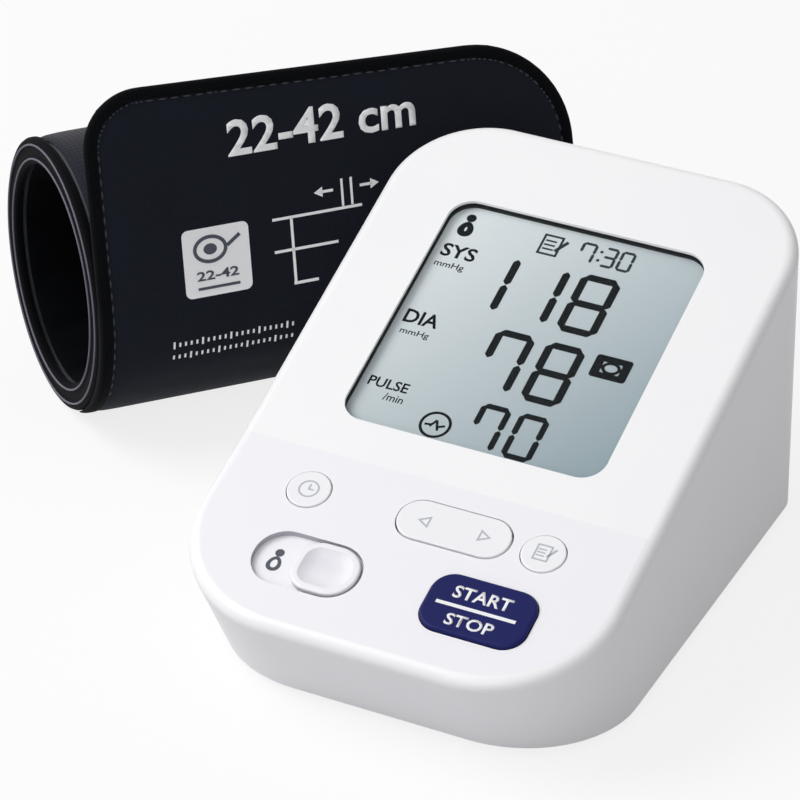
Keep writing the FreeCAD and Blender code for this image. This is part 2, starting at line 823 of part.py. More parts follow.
# Valve, manifold, pump head and motor stand in line from wall to wall; two hoses share the rest.
air_room = (wall_half - s.case_wall) * 2 - s.valve_side_room - s.motor_side_room
pump_length = s.pump_head_length + s.seat_gap + s.motor_length + s.motor_boss_length
hose_run = (air_room - s.valve_length - s.manifold_side - pump_length) / 2
nipple_length = (hose_run - s.hose_end_gap) / 2
valve_face = s.case_wall + s.valve_side_room + s.valve_length - wall_half
manifold_x = valve_face + hose_run + manifold_half
pump_face = manifold_x + manifold_half + hose_run


def door_outline(room):
    """The hatch in the cover, set in by some room; its front corners are round."""
    half_x = hatch_half_x - room
    low = bay_front - s.door_ledge + room
    high = bay_rear + s.door_ledge - room
    return Outline((-half_x, low, s.door_corner_radius), (half_x, low, s.door_corner_radius),
                   (half_x, high), (-half_x, high))


def cover_outline(inset):
    room = s.case_wall + s.cover_gap + inset
    return block(s.base_width - room * 2, room - s.base_front, s.base_rear - room,
                 s.base_front_radius - room, s.base_rear_radius - room)


def base_cover():
    """Bottom shell: standing rim, battery bay, seats for the valve and the manifold."""
    body = new_body("base_cover_form")
    pad(body, cover_outline(0), 0, s.cover_thickness)
    pad(body, block((bay_half_x + s.bay_wall) * 2, bay_front - s.bay_wall, bay_rear + s.bay_wall),
        s.cover_thickness, bay_top)
    pad(body, Disc(manifold_x, s.air_line_y, s.manifold_post_radius), s.cover_thickness,
        s.air_line_z - manifold_half - s.seat_gap)
    pad(body, stub(s.valve_length - s.valve_radius * 2, s.valve_side - s.valve_radius * 2,
                   valve_face - s.valve_length / 2, s.air_line_y),
        s.cover_thickness, s.air_line_z - s.valve_side / 2 - s.seat_gap)
    pocket(body, cover_outline(s.cover_rim_width), s.cover_rim_height, -s.overrun)
    pocket(body, block(bay_half_x * 2, bay_front, bay_rear), bay_ceiling, -s.overrun)
    pocket(body, door_outline(0), hatch_top, -s.overrun)
    holes = []
    for number, (x, y, panel) in enumerate(bosses):
        holes.append(cylinder(f"cover_hole_{number}", s.case_screw_radius + s.running_gap,
                              s.cover_thickness + s.overrun * 2, x, y, -s.overrun))
        holes.append(cylinder(f"cover_counterbore_{number}", s.case_screw_head_radius + s.running_gap,
                              screw_seat + s.overrun, x, y, -s.overrun))
    holes.append(bar_along_x("door_sockets", s.door_pin_radius + s.door_pin_fit,
                             -hatch_half_x - s.door_pin_length, hatch_half_x + s.door_pin_length,
                             door_axis_y, door_axis_z))
    return cut("base_cover", body, holes)


def case_screws():
    screws = []
    for number, (x, y, panel) in enumerate(bosses):
        screws.append(screw(f"case_screw_{number}", table, x, y, screw_seat, s.case_screw_radius,
                            s.case_screw_grip, s.case_screw_head_radius,
                            s.case_screw_head_height - s.running_gap))
    return group("case_screws", screws)


def battery_door():
    """Door in the underside: round rear edge on two pins, and a finger grip at the front."""
    body = new_body("battery_door")
    pad(body, door_outline(s.running_gap), s.cover_rim_height, door_top)
    door_rear = door_axis_y + s.door_thickness / 2

    def at_rear(edge):
        spot = edge.BoundBox
        return spot.YMin > door_rear - least_length and spot.XLength > bay_half_x

    round_edges(body, s.door_thickness / 2 * s.full_round_share, at_rear)
    pin = body.newObject("PartDesign::Pad", "battery_door_pins")
    pin.Profile = sketch_in(body, Disc(door_axis_y, door_axis_z, s.door_pin_radius), "YZ_Plane")
    pin.SideType = "Symmetric"
    bind(pin, "Length", (hatch_half_x + s.door_pin_length - s.running_gap) * 2)
    grip_low = bay_front - s.door_ledge + s.door_grip_inset
    pocket(body, block(s.door_grip_width, grip_low, grip_low + s.door_grip_length, s.door_corner_radius),
           s.cover_rim_height + s.door_grip_depth, -s.overrun)
    return body


def span(side, near, far):
    """The X limits of what lies between near and far, on the left or the right side."""
    return (near, far) if side == right else (-far, -near)


def battery(number):
    """An AA cell; every second one points the other way."""
    label = f"battery_{number + 1}"
    y = cell_rows[number]
    side = right if number % 2 == 0 else left
    end = s.cell_length / 2
    shoulder = end - s.cell_tip_length
    can = bar_along_x(f"{label}_can", s.cell_radius, *span(side, -end, shoulder), y, cell_z)
    tip = bar_along_x(f"{label}_tip", s.cell_tip_radius, *span(side, shoulder, end), y, cell_z)
    return fuse(label, [can, tip])


def battery_contacts(label, side, plates):
    """Sprung plates at one end of the bay; each plate joins the cells of its rows."""
    outer = bay_half_x - s.seat_gap
    inner = outer - s.contact_thickness
    touch = s.cell_length / 2 + s.seat_gap
    solids = []
    for number, rows in enumerate(plates):
        spans = [cell_rows[row] for row in rows]
        plate = box(f"{label}_plate_{number}", span(side, inner, outer),
                    (spans[0] - s.contact_width / 2, spans[-1] + s.contact_width / 2),
                    (cell_z - s.contact_height / 2, cell_z + s.contact_height / 2))
        bumps = []
        for row, y in zip(rows, spans):
            bumps.append(bar_along_x(f"{label}_bump_{row}", s.contact_bump_radius,
                                     *span(side, touch, inner), y, cell_z))
        solids.append(fuse(f"{label}_{number}", [plate] + bumps))
    return group(label, solids)


def display_gasket():
    body = new_body("display_gasket")
    pad(body, glass_outline(0), gasket_low, gasket_top, frame=upper_panel)
    pocket(body, window_outline, gasket_top + s.overrun, gasket_low - s.overrun, frame=upper_panel)
    return body


strip_rows = [glass_start + s.strip_inset, glass_end - s.strip_inset]
strip_length = glass_width - s.strip_end * 2


def display_frame():
    """Tray that holds the glass over the board, with a slot for each connector strip."""
    body = new_body("display_frame")
    pad(body, glass_outline(s.frame_gap + s.frame_wall), frame_low, -(s.face_wall + s.running_gap),
        frame=upper_panel)
    pocket(body, glass_outline(s.frame_gap), 0, floor_top, frame=upper_panel)
    pocket(body, glass_outline(-s.frame_wall), floor_low, frame_low - s.overrun, frame=upper_panel)
    for along in strip_rows:
        pocket(body, stub(strip_length + s.frame_gap * 2, s.strip_width + s.frame_gap * 2, 0, along),
               0, frame_low - s.overrun, frame=upper_panel)
    return body


def connector_strips():
    strips = []
    for number, along in enumerate(strip_rows):
        outline = stub(strip_length, s.strip_width, 0, along)
        strips.append(prism(f"connector_strip_{number}", outline, main_board_top + s.seat_gap,
                            glass_low - s.seat_gap, upper_panel))
    return group("connector_strips", strips)


def main_board():
    body = new_body("main_board")
    width = s.face_width - s.main_board_side * 2
    pad(body, block(width, s.main_board_start, s.main_board_end, s.main_board_radius),
        main_board_low, main_board_top, frame=upper_panel)
    for x, along in main_posts:
        pocket(body, Disc(x, along, s.board_screw_radius + s.board_hole_gap), main_board_top + s.overrun,
               main_board_low - s.overrun, frame=upper_panel)
    return body


def board_screws():
    screws = []
    for number, (x, along) in enumerate(main_posts):
        screws.append(screw(f"main_board_screw_{number}", upper_panel, x, along, main_board_low,
                            s.board_screw_radius, s.board_screw_grip, s.board_screw_head_radius,
                            s.board_screw_head_height))
    for number, (x, along) in enumerate(key_posts):
        screws.append(screw(f"key_board_screw_{number}", lower_panel, x, along, key_board_low,
                            s.board_screw_radius, s.board_screw_grip, s.board_screw_head_radius,
                            s.board_screw_head_height))
    return group("board_screws", screws)


def buzzer():
    high = main_board_low - s.seat_gap
    return panel_post("buzzer", upper_panel, s.buzzer_radius, s.buzzer_x, s.buzzer_along,
                      high - s.buzzer_height, high)


sensor_top = main_board_low - s.seat_gap
sensor_low = sensor_top - s.sensor_height


def pressure_sensor():
    body = new_body("pressure_sensor")
    pad(body, stub(s.sensor_width, s.sensor_width, manifold_x, s.sensor_along), sensor_low, sensor_top,
        frame=upper_panel)
    pad(body, Disc(manifold_x, s.sensor_along, s.nipple_radius), sensor_low - nipple_length, sensor_low,
        frame=upper_panel)
    return body


def round_button(label, side):
    body = new_body(label)
    pad(body, Disc(0, 0, s.round_button_radius), flange_top, s.button_proud)
    round_edges(body, s.button_edge_radius, lies_at(s.button_proud))
    pad(body, Disc(0, 0, s.round_button_radius + s.button_flange), flange_low, flange_top)
    pad(body, Disc(0, 0, s.button_stem_radius), stem_low, flange_low)
    lower_panel.place(body, side * s.round_button_x, s.round_button_along)
    return body


def start_stop_button():
    body = new_body("start_stop_button")
    pad(body, stub(s.start_width, s.start_height, 0, 0, s.start_radius), flange_top, s.start_proud)
    round_edges(body, s.start_edge_radius, lies_at(s.start_proud))
    pad(body, stub(s.start_width + s.button_flange * 2, s.start_height + s.button_flange * 2, 0, 0,
                   s.start_radius + s.button_flange), flange_low, flange_top)
    pad(body, Disc(0, 0, s.button_stem_radius), stem_low, flange_low)
    lower_panel.place(body, s.start_x, s.start_along)
    return body


def arrow_rocker():
    """Wide key that tips to either side over a round-topped pivot."""
    body = new_body("arrow_rocker")
    pad(body, stub(s.rocker_width, s.rocker_height, 0, 0, s.rocker_radius), -s.rocker_depth,
        s.button_proud)
    round_edges(body, s.button_edge_radius, lies_at(s.button_proud))
    pad(body, stub(s.rocker_rib_width, s.rocker_rib_height, 0, 0), -s.pivot_depth, -s.rocker_depth)
    for side in (left, right):
        pad(body, Disc(side * s.rocker_stem_x, 0, s.button_stem_radius), stem_low, -s.rocker_depth)
    groove = body.newObject("PartDesign::Pocket", "arrow_rocker_groove")
    groove.Profile = sketch_in(body, Disc(0, -s.pivot_depth, s.pivot_radius + s.pivot_fit), "XZ_Plane")
    groove.SideType = "Symmetric"
    bind(groove, "Length", s.rocker_height)
    lower_panel.place(body, s.rocker_x, s.rocker_along)
    return body


def rocker_pivot():
    body = new_body("rocker_pivot")
    pad(body, stub(s.pivot_radius * 2, s.pivot_length, 0, 0), key_board_top + s.seat_gap,
        -s.pivot_depth)
    top = body.newObject("PartDesign::Pad", "rocker_pivot_top")
    top.Profile = sketch_in(body, Disc(0, -s.pivot_depth, s.pivot_radius), "XZ_Plane")
    top.SideType = "Symmetric"
    bind(top, "Length", s.pivot_length)
    lower_panel.place(body, s.rocker_x, s.rocker_along)
    return body


knob_foot_top = -(s.face_wall + s.running_gap)
knob_foot_low = knob_foot_top - s.knob_foot_thickness
knob_tip = knob_foot_low - s.knob_stem_length
switch_top = knob_tip + s.switch_entry


def user_switch_knob():
    """Sliding knob at the right end of its recess, with a foot that keeps it in."""
    body = new_body("user_switch_knob")
    stem_x = knob_shift + s.knob_stem_shift
    pad(body, stub(s.knob_width, s.knob_height, knob_shift, 0, s.knob_radius),
        s.running_gap - s.recess_depth, s.knob_proud)
    round_edges(body, s.knob_edge_radius, lies_at(s.knob_proud))
    pad(body, stub(s.knob_stem_width, s.knob_stem_height, stem_x, 0), knob_tip,
        s.running_gap - s.recess_depth)
    pad(body, stub(s.knob_foot_width, s.knob_foot_height, stem_x, 0), knob_foot_low, knob_foot_top)
    lower_panel.place(body, s.recess_x, s.recess_along)
    return body


def user_switch():
    body = new_body("user_switch")
    pad(body, stub(switch_width, s.switch_height, 0, 0), key_board_top + s.seat_gap, switch_top)
    pocket(body, stub(slot_width, slot_height, 0, 0), switch_top + s.overrun,
           switch_top - s.switch_slot_depth)
    lower_panel.place(body, slot_x, s.recess_along)
    return body


def key_outline(inset):
    return block(s.key_board_width - inset * 2, s.key_board_start + inset, s.key_board_end - inset,
                 s.key_board_front_radius - inset, s.key_board_rear_radius - inset)


def key_mat():
    """Rubber sheet with one dome under each key stem."""
    body = new_body("key_mat")
    pad(body, key_outline(s.mat_inset), mat_low, mat_top, frame=lower_panel)
    domes = [(side * s.round_button_x, s.round_button_along) for side in (left, right)]
    domes.append((s.start_x, s.start_along))
    domes += [(x, s.rocker_along) for x in rocker_stems]
    for x, along in domes:
        pad(body, Disc(x, along, s.dome_radius), mat_top, dome_top, frame=lower_panel)
    windows = [stub(switch_width + s.running_gap * 2, s.switch_height + s.running_gap * 2, slot_x,
                    s.recess_along),
               stub((s.pivot_radius + s.running_gap) * 2, s.pivot_length + s.running_gap * 2, s.rocker_x,
                    s.rocker_along)]
    windows += [Disc(x, along, s.key_post_radius + s.running_gap) for x, along in key_posts]
    for outline in windows:
        pocket(body, outline, dome_top, mat_low - s.overrun, frame=lower_panel)
    return body


def key_board():
    body = new_body("key_board")
    pad(body, key_outline(0), key_board_low, key_board_top, frame=lower_panel)
    for x, along in key_posts:
        pocket(body, Disc(x, along, s.board_screw_radius + s.board_hole_gap), key_board_top + s.overrun,
               key_board_low - s.overrun, frame=lower_panel)
    return body


def air_nipple(label, start, stop):
    return bar_along_x(label, s.nipple_radius, start, stop, s.air_line_y, s.air_line_z)


def air_manifold():
    """Block with a nipple for the pump, the valve, the air jack and the sensor."""
    x, y, z = manifold_x, s.air_line_y, s.air_line_z
    half = manifold_half
    middle = box("manifold_block", (x - half, x + half), (y - half, y + half), (z - half, z + half))
    across = air_nipple("manifold_across", x - half - nipple_length, x + half + nipple_length)
    ahead = bar_along_y("manifold_ahead", s.nipple_radius, y - half - nipple_length, y, x, z)
    above = cylinder("manifold_above", s.nipple_radius, half + nipple_length, x, y, z)
    return fuse("air_manifold", [middle, across, ahead, above])


def straight_hose(label, start, stop):
    outer = bar_along_x(f"{label}_wall", s.hose_radius, start, stop, s.air_line_y, s.air_line_z)
    bore = bar_along_x(f"{label}_bore", s.nipple_radius + s.hose_fit, start - s.overrun, stop + s.overrun,
                       s.air_line_y, s.air_line_z)
    return cut(label, outer, [bore])


def bent_hose(label, start, corner, stop):
    """A hose of two straight runs and one tangent arc, held at both ends."""
    spots = [[float(value) for value in spot] for spot in (start, corner, stop)]
    start, corner, stop = (FreeCAD.Vector(*spot) for spot in spots)
    into = (corner - start).normalize()
    out = (stop - corner).normalize()
    turn = into.getAngle(out)
    shorter = min((corner - start).Length, (stop - corner).Length)
    reach = shorter * s.bend_reach_share
    radius = reach / math.tan(turn / 2)
    first = corner - into * reach
    last = corner + out * reach
    inward = (out - into).normalize()
    middle = corner + inward * (radius / math.cos(turn / 2) - radius)
    edges = [Part.LineSegment(start, first).toShape(), Part.Arc(first, middle, last).toShape(),
             Part.LineSegment(last, stop).toShape()]
    path = Part.Wire(edges)
    tubes = []
    for tube_radius in (s.hose_radius, s.nipple_radius + s.hose_fit):
        ring = Part.Wire(Part.Circle(start, into, float(tube_radius)).toShape())
        tube = path.makePipeShell([ring], True, False)
        share = tube.Volume / (math.pi * tube_radius ** 2 * path.Length)
        print(f"{label}: bend radius {radius:.1f}, volume over section times length {share:.4f}")
        tubes.append(tube)
    part = doc.addObject("Part::Feature", label)
    part.Shape = tubes[0].cut(tubes[1])
    part.Label = label
    return part


def jack_hose():
    return bent_hose("jack_hose", (jack_end, s.jack_y, s.air_line_z), (manifold_x, s.jack_y, s.air_line_z),
                     (manifold_x, s.air_line_y - manifold_half - s.seat_gap, s.air_line_z))


def sensor_hose():
    top_y, top_z = upper_panel.point(s.sensor_along, sensor_low - s.seat_gap)
    drop = (s.air_line_y - top_y) / math.tan(math.radians(s.upper_slope))
    return bent_hose("sensor_hose", (manifold_x, top_y, top_z), (manifold_x, s.air_line_y, top_z - drop),
                     (manifold_x, s.air_line_y, s.air_line_z + manifold_half + s.seat_gap))


def pump_head():
    body = new_body("pump_head")
    side = s.pump_head_side
    pad(body, stub(side, side, s.air_line_y, s.air_line_z, s.pump_head_radius), pump_face,
        pump_face + s.pump_head_length, "YZ_Plane")
    pad(body, Disc(s.air_line_y, s.air_line_z, s.nipple_radius), pump_face - nipple_length, pump_face,
        "YZ_Plane")
    return body


motor_start = pump_face + s.pump_head_length + s.seat_gap
motor_end = motor_start + s.motor_length


def pump_motor():
    can = bar_along_x("motor_can", s.motor_radius, motor_start, motor_end, s.air_line_y, s.air_line_z)
    boss = bar_along_x("motor_boss", s.motor_boss_radius, motor_end, motor_end + s.motor_boss_length,
                       s.air_line_y, s.air_line_z)
    return fuse("pump_motor", [can, boss])


def pump_cradle():
    """Rubber saddle under the motor, standing on the base cover."""
    middle = motor_start + s.motor_length / 2
    saddle = box("cradle_block", (middle - s.cradle_length / 2, middle + s.cradle_length / 2),
                 (s.air_line_y - s.cradle_width / 2, s.air_line_y + s.cradle_width / 2),
                 (s.cover_thickness + s.seat_gap, s.air_line_z - s.motor_radius * s.cradle_wrap_share))
    hollow = bar_along_x("cradle_hollow", s.motor_radius + s.seat_gap * 2, motor_start, motor_end,
                         s.air_line_y, s.air_line_z)
    return cut("pump_cradle", saddle, [hollow])


def exhaust_valve():
    body = new_body("exhaust_valve")
    side = s.valve_side
    pad(body, stub(side, side, s.air_line_y, s.air_line_z, s.valve_radius), valve_face - s.valve_length,
        valve_face, "YZ_Plane")
    pad(body, Disc(s.air_line_y, s.air_line_z, s.nipple_radius), valve_face, valve_face + nipple_length,
        "YZ_Plane")
    return body


jack_face = s.jack_recess - wall_half
jack_end = jack_face + s.jack_length


def air_jack():
    """Socket in the left wall for the plug of the cuff's hose."""
    flange_start = s.case_wall + lean_at_flange + s.jack_flange_gap - wall_half
    solids = []
    for name, radius, start, stop in (("collar", s.jack_collar_radius, jack_face, jack_end),
                                      ("flange", s.jack_flange_radius, flange_start,
                                       flange_start + s.jack_flange_thickness),
                                      ("nipple", s.nipple_radius, jack_end, jack_end + nipple_length)):
        solids.append(bar_along_x(f"air_jack_{name}", radius, start, stop, s.jack_y, s.air_line_z))
    bore = bar_along_x("air_jack_bore", s.jack_bore_radius, jack_face - s.overrun,
                       jack_face + s.jack_bore_depth, s.jack_y, s.air_line_z)
    return cut("air_jack", fuse("air_jack_body", solids), [bore])


def power_jack():
    """Socket at the rear for a mains adapter, with its centre pin."""
    face = s.base_rear - s.power_recess
    shell = box("power_jack_shell", (s.power_x - s.power_width / 2, s.power_x + s.power_width / 2),
                (power_body_end - s.power_length, power_body_end),
                (power_z - s.power_height / 2, power_z + s.power_height / 2))
    collar = bar_along_y("power_jack_collar", s.power_collar_radius, power_body_end, face, s.power_x, power_z)
    bore = bar_along_y("power_jack_bore", s.power_bore_radius, face - s.power_bore_depth, face + s.overrun,
                       s.power_x, power_z)
    pin = bar_along_y("power_jack_pin", s.power_pin_radius, face - s.power_bore_depth, face - s.overrun,
                      s.power_x, power_z)
    socket = cut("power_jack_socket", fuse("power_jack_body", [shell, collar]), [bore])
    return fuse("power_jack", [socket, pin])


# Cuff: layers of a roll about an axis along its own X, standing on the table.
lining_out = s.cuff_bore_radius + s.cuff_lining
bladder_in = lining_out + s.cuff_layer_gap
bladder_out = bladder_in + s.cuff_bladder
curler_in = bladder_out + s.cuff_layer_gap
curler_out = curler_in + s.cuff_curler
cloth_in = curler_out + s.cuff_layer_gap
cloth_out = cloth_in + s.cuff_cloth
binding_out = cloth_out + s.cuff_binding_proud
axis_z = binding_out
flap_in = binding_out + s.cuff_layer_gap
flap_out = flap_in + s.flap_thickness
seam_start = s.cuff_seam_angle + s.cuff_seam_opening / 2
seam_stop = s.cuff_seam_angle + 360 - s.cuff_seam_opening / 2
flap_middle = flap_in + s.flap_thickness / 2
flap_plane = Frame(flap_middle * cos(s.flap_leave_angle), axis_z + flap_middle * sin(s.flap_leave_angle),
                   s.flap_leave_angle - quarter_turn)
flap_half = s.flap_thickness / 2


def on_cuff(body):
    place(body, s.cuff_x, s.cuff_y, 0, s.cuff_turn, (0, 0, 1))
    return body


def cuff_layer(label, inner, outer, low, high, start=seam_start, stop=seam_stop):
    return on_cuff(prism(label, Ring(0, axis_z, inner, outer, start, stop), low, high, plane="YZ_Plane"))


layer_low = s.cuff_binding_width + s.seat_gap
layer_high = s.cuff_length - s.cuff_binding_width - s.seat_gap


def cuff_flap_root():
    """The part of the flap that wraps the front of the roll and starts up the tangent."""
    body = prism("cuff_flap_root", Ring(0, axis_z, flap_in, flap_out, s.flap_leave_angle, s.flap_start_angle),
                 0, s.cuff_length, plane="YZ_Plane")
    pad(body, block(s.cuff_length, 0, s.flap_hinge - flap_half - s.running_gap, x=s.cuff_length / 2),
        -flap_half, flap_half, frame=flap_plane)
    return on_cuff(body)


def cuff_flap():
    """The free end of the flap, with a round lower edge where it bends."""
    body = new_body("cuff_flap")
    low = s.flap_hinge - flap_half
    left_top = s.flap_hinge + s.flap_left_edge
    fall = s.cuff_length * sin(s.flap_top_drop) / cos(s.flap_top_drop)
    pad(body, Outline((0, low), (s.cuff_length, low), (s.cuff_length, left_top - fall, s.flap_right_radius),
                      (0, left_top, s.flap_left_radius)), -flap_half, flap_half, frame=flap_plane)
    lower_corners = [flap_plane.point(low, side * flap_half) for side in (front, back)]

    def at_bend(edge):
        spot = edge.BoundBox
        beside = [abs(spot.YMin - y) + abs(spot.ZMin - z) < least_length for y, z in lower_corners]
        return spot.XLength > s.cuff_length / 2 and any(beside)

    round_edges(body, flap_half * s.full_round_share, at_bend)
    return on_cuff(body)


def hook_patch():
    outline = block(s.hook_patch_width, s.hook_patch_start, s.hook_patch_start + s.hook_patch_height,
                    s.hook_patch_radius, x=s.hook_patch_inset + s.hook_patch_width / 2)
    high = -(flap_half + s.seat_gap)
    return on_cuff(prism("hook_patch", outline, high - s.hook_patch_thickness, high, flap_plane))


def cuff_nipple():
    """Nipple at the far end of the bladder, where the air hose pushes on."""
    body = new_body("cuff_nipple")
    middle = (bladder_in + bladder_out) / 2
    y = middle * cos(s.cuff_nipple_angle)
    z = axis_z + middle * sin(s.cuff_nipple_angle)
    start = s.cuff_length + s.seat_gap
    seat = start + s.cuff_nipple_flange
    pad(body, Disc(y, z, s.cuff_nipple_radius + s.cuff_nipple_flange / 2), start, seat, "YZ_Plane")
    pad(body, Disc(y, z, s.cuff_nipple_radius), seat, seat + s.cuff_nipple_length, "YZ_Plane")
    pocket(body, Disc(y, z, s.cuff_nipple_bore), seat + s.cuff_nipple_length, seat, "YZ_Plane")
    return on_cuff(body)


pieces = [upper_case(), base_cover(), case_screws(), battery_door()]
pieces += [battery(number) for number in range(cell_count)]
pieces += [battery_contacts("contacts_left", left, [(0,), (1, 2), (3,)]),
           battery_contacts("contacts_right", right, [(0, 1), (2, 3)])]
pieces += [prism("display_window", glass_outline(0), window_low, window_top, upper_panel),
           display_gasket(),
           prism("display_glass", glass_outline(0), glass_low, glass_top, upper_panel),
           display_frame(), connector_strips(), main_board(), board_screws(), buzzer(), pressure_sensor()]
pieces += [round_button("clock_button", left), round_button("memory_button", right), start_stop_button(),
           arrow_rocker(), rocker_pivot(), user_switch_knob(), user_switch(), key_mat(), key_board()]
pieces += [air_manifold(), pump_head(), pump_motor(), pump_cradle(), exhaust_valve(), air_jack(),
           power_jack(), jack_hose(), sensor_hose(),
           straight_hose("pump_hose", manifold_x + manifold_half + s.seat_gap, pump_face - s.seat_gap),
           straight_hose("valve_hose", valve_face + s.seat_gap, manifold_x - manifold_half - s.seat_gap)]
pieces += [cuff_layer("cuff_lining", s.cuff_bore_radius, lining_out, layer_low, layer_high),
           cuff_layer("cuff_bladder", bladder_in, bladder_out, layer_low, layer_high, s.bladder_from,
                      s.bladder_to),
           cuff_layer("cuff_curler", curler_in, curler_out, layer_low, layer_high),
           cuff_layer("cuff_cloth", cloth_in, cloth_out, layer_low, layer_high),
           cuff_layer("cuff_binding_near", s.cuff_bore_radius, binding_out, 0, s.cuff_binding_width),
           cuff_layer("cuff_binding_far", s.cuff_bore_radius, binding_out,
                      s.cuff_length - s.cuff_binding_width, s.cuff_length),
           cuff_flap_root(), cuff_flap(), hook_patch(), cuff_nipple()]
doc.recompute()

for thing in doc.Objects:
    if "Invalid" in thing.State or "Error" in thing.State:
        raise RuntimeError(f"{thing.Label} failed: {thing.getStatusString()}")
    if thing.TypeId == "PartDesign::Pocket":
        before = thing.BaseFeature.Shape.Volume
        if before - thing.Shape.Volume < before * least_cut_share:
            raise RuntimeError(f"{thing.Label} cuts nothing")
os.makedirs("parts", exist_ok=True)
for piece in pieces:
    if piece.Shape.isNull() or not piece.Shape.isValid():
        raise RuntimeError(f"{piece.Label} has no valid shape")
for piece in pieces:
    piece.Shape.exportStep(f"parts/{piece.Label}.step")
print(f"{len(pieces)} pieces written")
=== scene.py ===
import json
import math
import bmesh
import bpy
from mathutils import Matrix, Vector, noise
from mathutils.bvhtree import BVHTree


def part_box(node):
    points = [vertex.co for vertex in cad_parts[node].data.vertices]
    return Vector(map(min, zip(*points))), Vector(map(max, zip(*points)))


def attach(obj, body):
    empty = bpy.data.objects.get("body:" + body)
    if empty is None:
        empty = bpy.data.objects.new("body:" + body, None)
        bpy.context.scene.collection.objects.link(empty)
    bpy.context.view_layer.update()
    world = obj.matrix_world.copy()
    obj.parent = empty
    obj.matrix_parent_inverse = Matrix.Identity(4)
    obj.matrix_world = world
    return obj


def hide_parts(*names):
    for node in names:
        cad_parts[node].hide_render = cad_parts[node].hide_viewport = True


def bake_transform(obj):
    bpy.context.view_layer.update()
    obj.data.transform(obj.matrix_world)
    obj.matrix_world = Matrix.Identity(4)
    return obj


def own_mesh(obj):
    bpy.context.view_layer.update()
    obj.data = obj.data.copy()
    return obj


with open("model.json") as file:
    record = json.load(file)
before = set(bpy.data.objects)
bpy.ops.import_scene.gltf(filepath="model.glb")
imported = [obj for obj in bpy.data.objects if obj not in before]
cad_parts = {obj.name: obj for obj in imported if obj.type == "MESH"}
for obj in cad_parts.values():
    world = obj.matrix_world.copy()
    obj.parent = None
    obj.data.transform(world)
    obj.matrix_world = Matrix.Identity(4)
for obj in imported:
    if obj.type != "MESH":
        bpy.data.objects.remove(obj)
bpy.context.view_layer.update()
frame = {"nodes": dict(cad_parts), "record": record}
nodes = frame["nodes"]
mm = 0.001
# the two flat panels of the face: a point on their front edge and their tilt
lowerPanel = {"edge": (0, -76, 27.5), "tilt": 19.8}
upperPanel = {"edge": (0, -27.36, 45.01), "tilt": 21.8}
print("frame loaded:", len(nodes), "nodes")


# colours are written as sRGB, the shaders want linear light
def linear(hexColour):
    shares = [int(hexColour[i:i + 2], 16) / 255 for i in (1, 3, 5)]
    return [s / 12.92 if s <= 0.04045 else ((s + 0.055) / 1.055) ** 2.4 for s in shares] + [1.0]


# one node: a key is an input's name or number, or a setting of the node, and a value that is an output gets linked
def addNode(tree, kind, settings):
    node = tree.nodes.new(kind)
    for key, value in settings.items():
        if isinstance(value, bpy.types.NodeSocket):
            tree.links.new(value, node.inputs[key])
        elif isinstance(key, int) or key in node.inputs:
            node.inputs[key].default_value = value
        else:
            setattr(node, key, value)
    return node


def objectPlace(tree):
    return addNode(tree, "ShaderNodeTexCoord", {}).outputs["Object"]


# soft noise with marks of about this size
def mottle(tree, place, sizeMm, detail=2.0):
    marks = addNode(tree, "ShaderNodeTexNoise", {"Scale": 1 / (sizeMm * mm), "Detail": detail, "Vector": place})
    return marks.outputs["Fac"]


def reckon(tree, operation, *terms):
    return addNode(tree, "ShaderNodeMath", {"operation": operation, **dict(enumerate(terms))}).outputs["Value"]


# a share from nought to one becomes a value between two ends
def spread(tree, share, low, high):
    return addNode(tree, "ShaderNodeMapRange", {"To Min": low, "To Max": high, "Value": share}).outputs["Result"]


# a tone is a written colour, or the output of another mix
def mixTones(tree, share, first, second):
    first, second = (linear(tone) if isinstance(tone, str) else tone for tone in (first, second))
    return addNode(tree, "ShaderNodeMix", {"data_type": "RGBA", 0: share, 6: first, 7: second}).outputs[2]


def relief(tree, height, depthMm, **settings):
    return addNode(tree, "ShaderNodeBump", {"Distance": depthMm * mm, "Height": height, **settings}).outputs["Normal"]


# sets or links sockets of the shader; an underscore stands for the space in a socket's name
def feed(material, **sockets):
    shader = material.node_tree.nodes["Principled BSDF"]
    for name, value in sockets.items():
        socket = shader.inputs[name.replace("_", " ")]
        if isinstance(value, bpy.types.NodeSocket):
            material.node_tree.links.new(value, socket)
        else:
            socket.default_value = value
    return material


def startMaterial(name, **sockets):
    material = bpy.data.materials.new(name)
    material.use_nodes = True
    return feed(material, **sockets), material.node_tree


# moulded plastic or rubber: a slow drift of shade, and the fine skin that a spark-eroded mould leaves
def moulded(name, pale, deep, roughness, grainMm=0.9, grainDepthMm=0.006, **sockets):
    material, tree = startMaterial(name, **sockets)
    place = objectPlace(tree)
    grain = mottle(tree, place, grainMm)
    return feed(material, Base_Color=mixTones(tree, mottle(tree, place, 25, 3.0), pale, deep),
                Roughness=spread(tree, grain, roughness - 0.06, roughness + 0.06),
                Normal=relief(tree, grain, grainDepthMm, Strength=0.5))


# plated or rolled metal: long fine streaks along one axis and a little unevenness of polish
def rolledMetal(name, pale, deep, roughness, streak=(1, 1, 12)):
    material, tree = startMaterial(name, Metallic=1.0)
    along = addNode(tree, "ShaderNodeMapping", {"Scale": [1 / s for s in streak], "Vector": objectPlace(tree)})
    marks = mottle(tree, along.outputs["Vector"], 0.5, 4.0)
    return feed(material, Base_Color=mixTones(tree, marks, pale, deep),
                Roughness=spread(tree, marks, roughness - 0.08, roughness + 0.12))


# a wave texture repeats every 2 pi / 20 / scale, so this scale gives one band for each thread
def bandScale(threadMm):
    return 2 * math.pi / (20 * threadMm * mm)


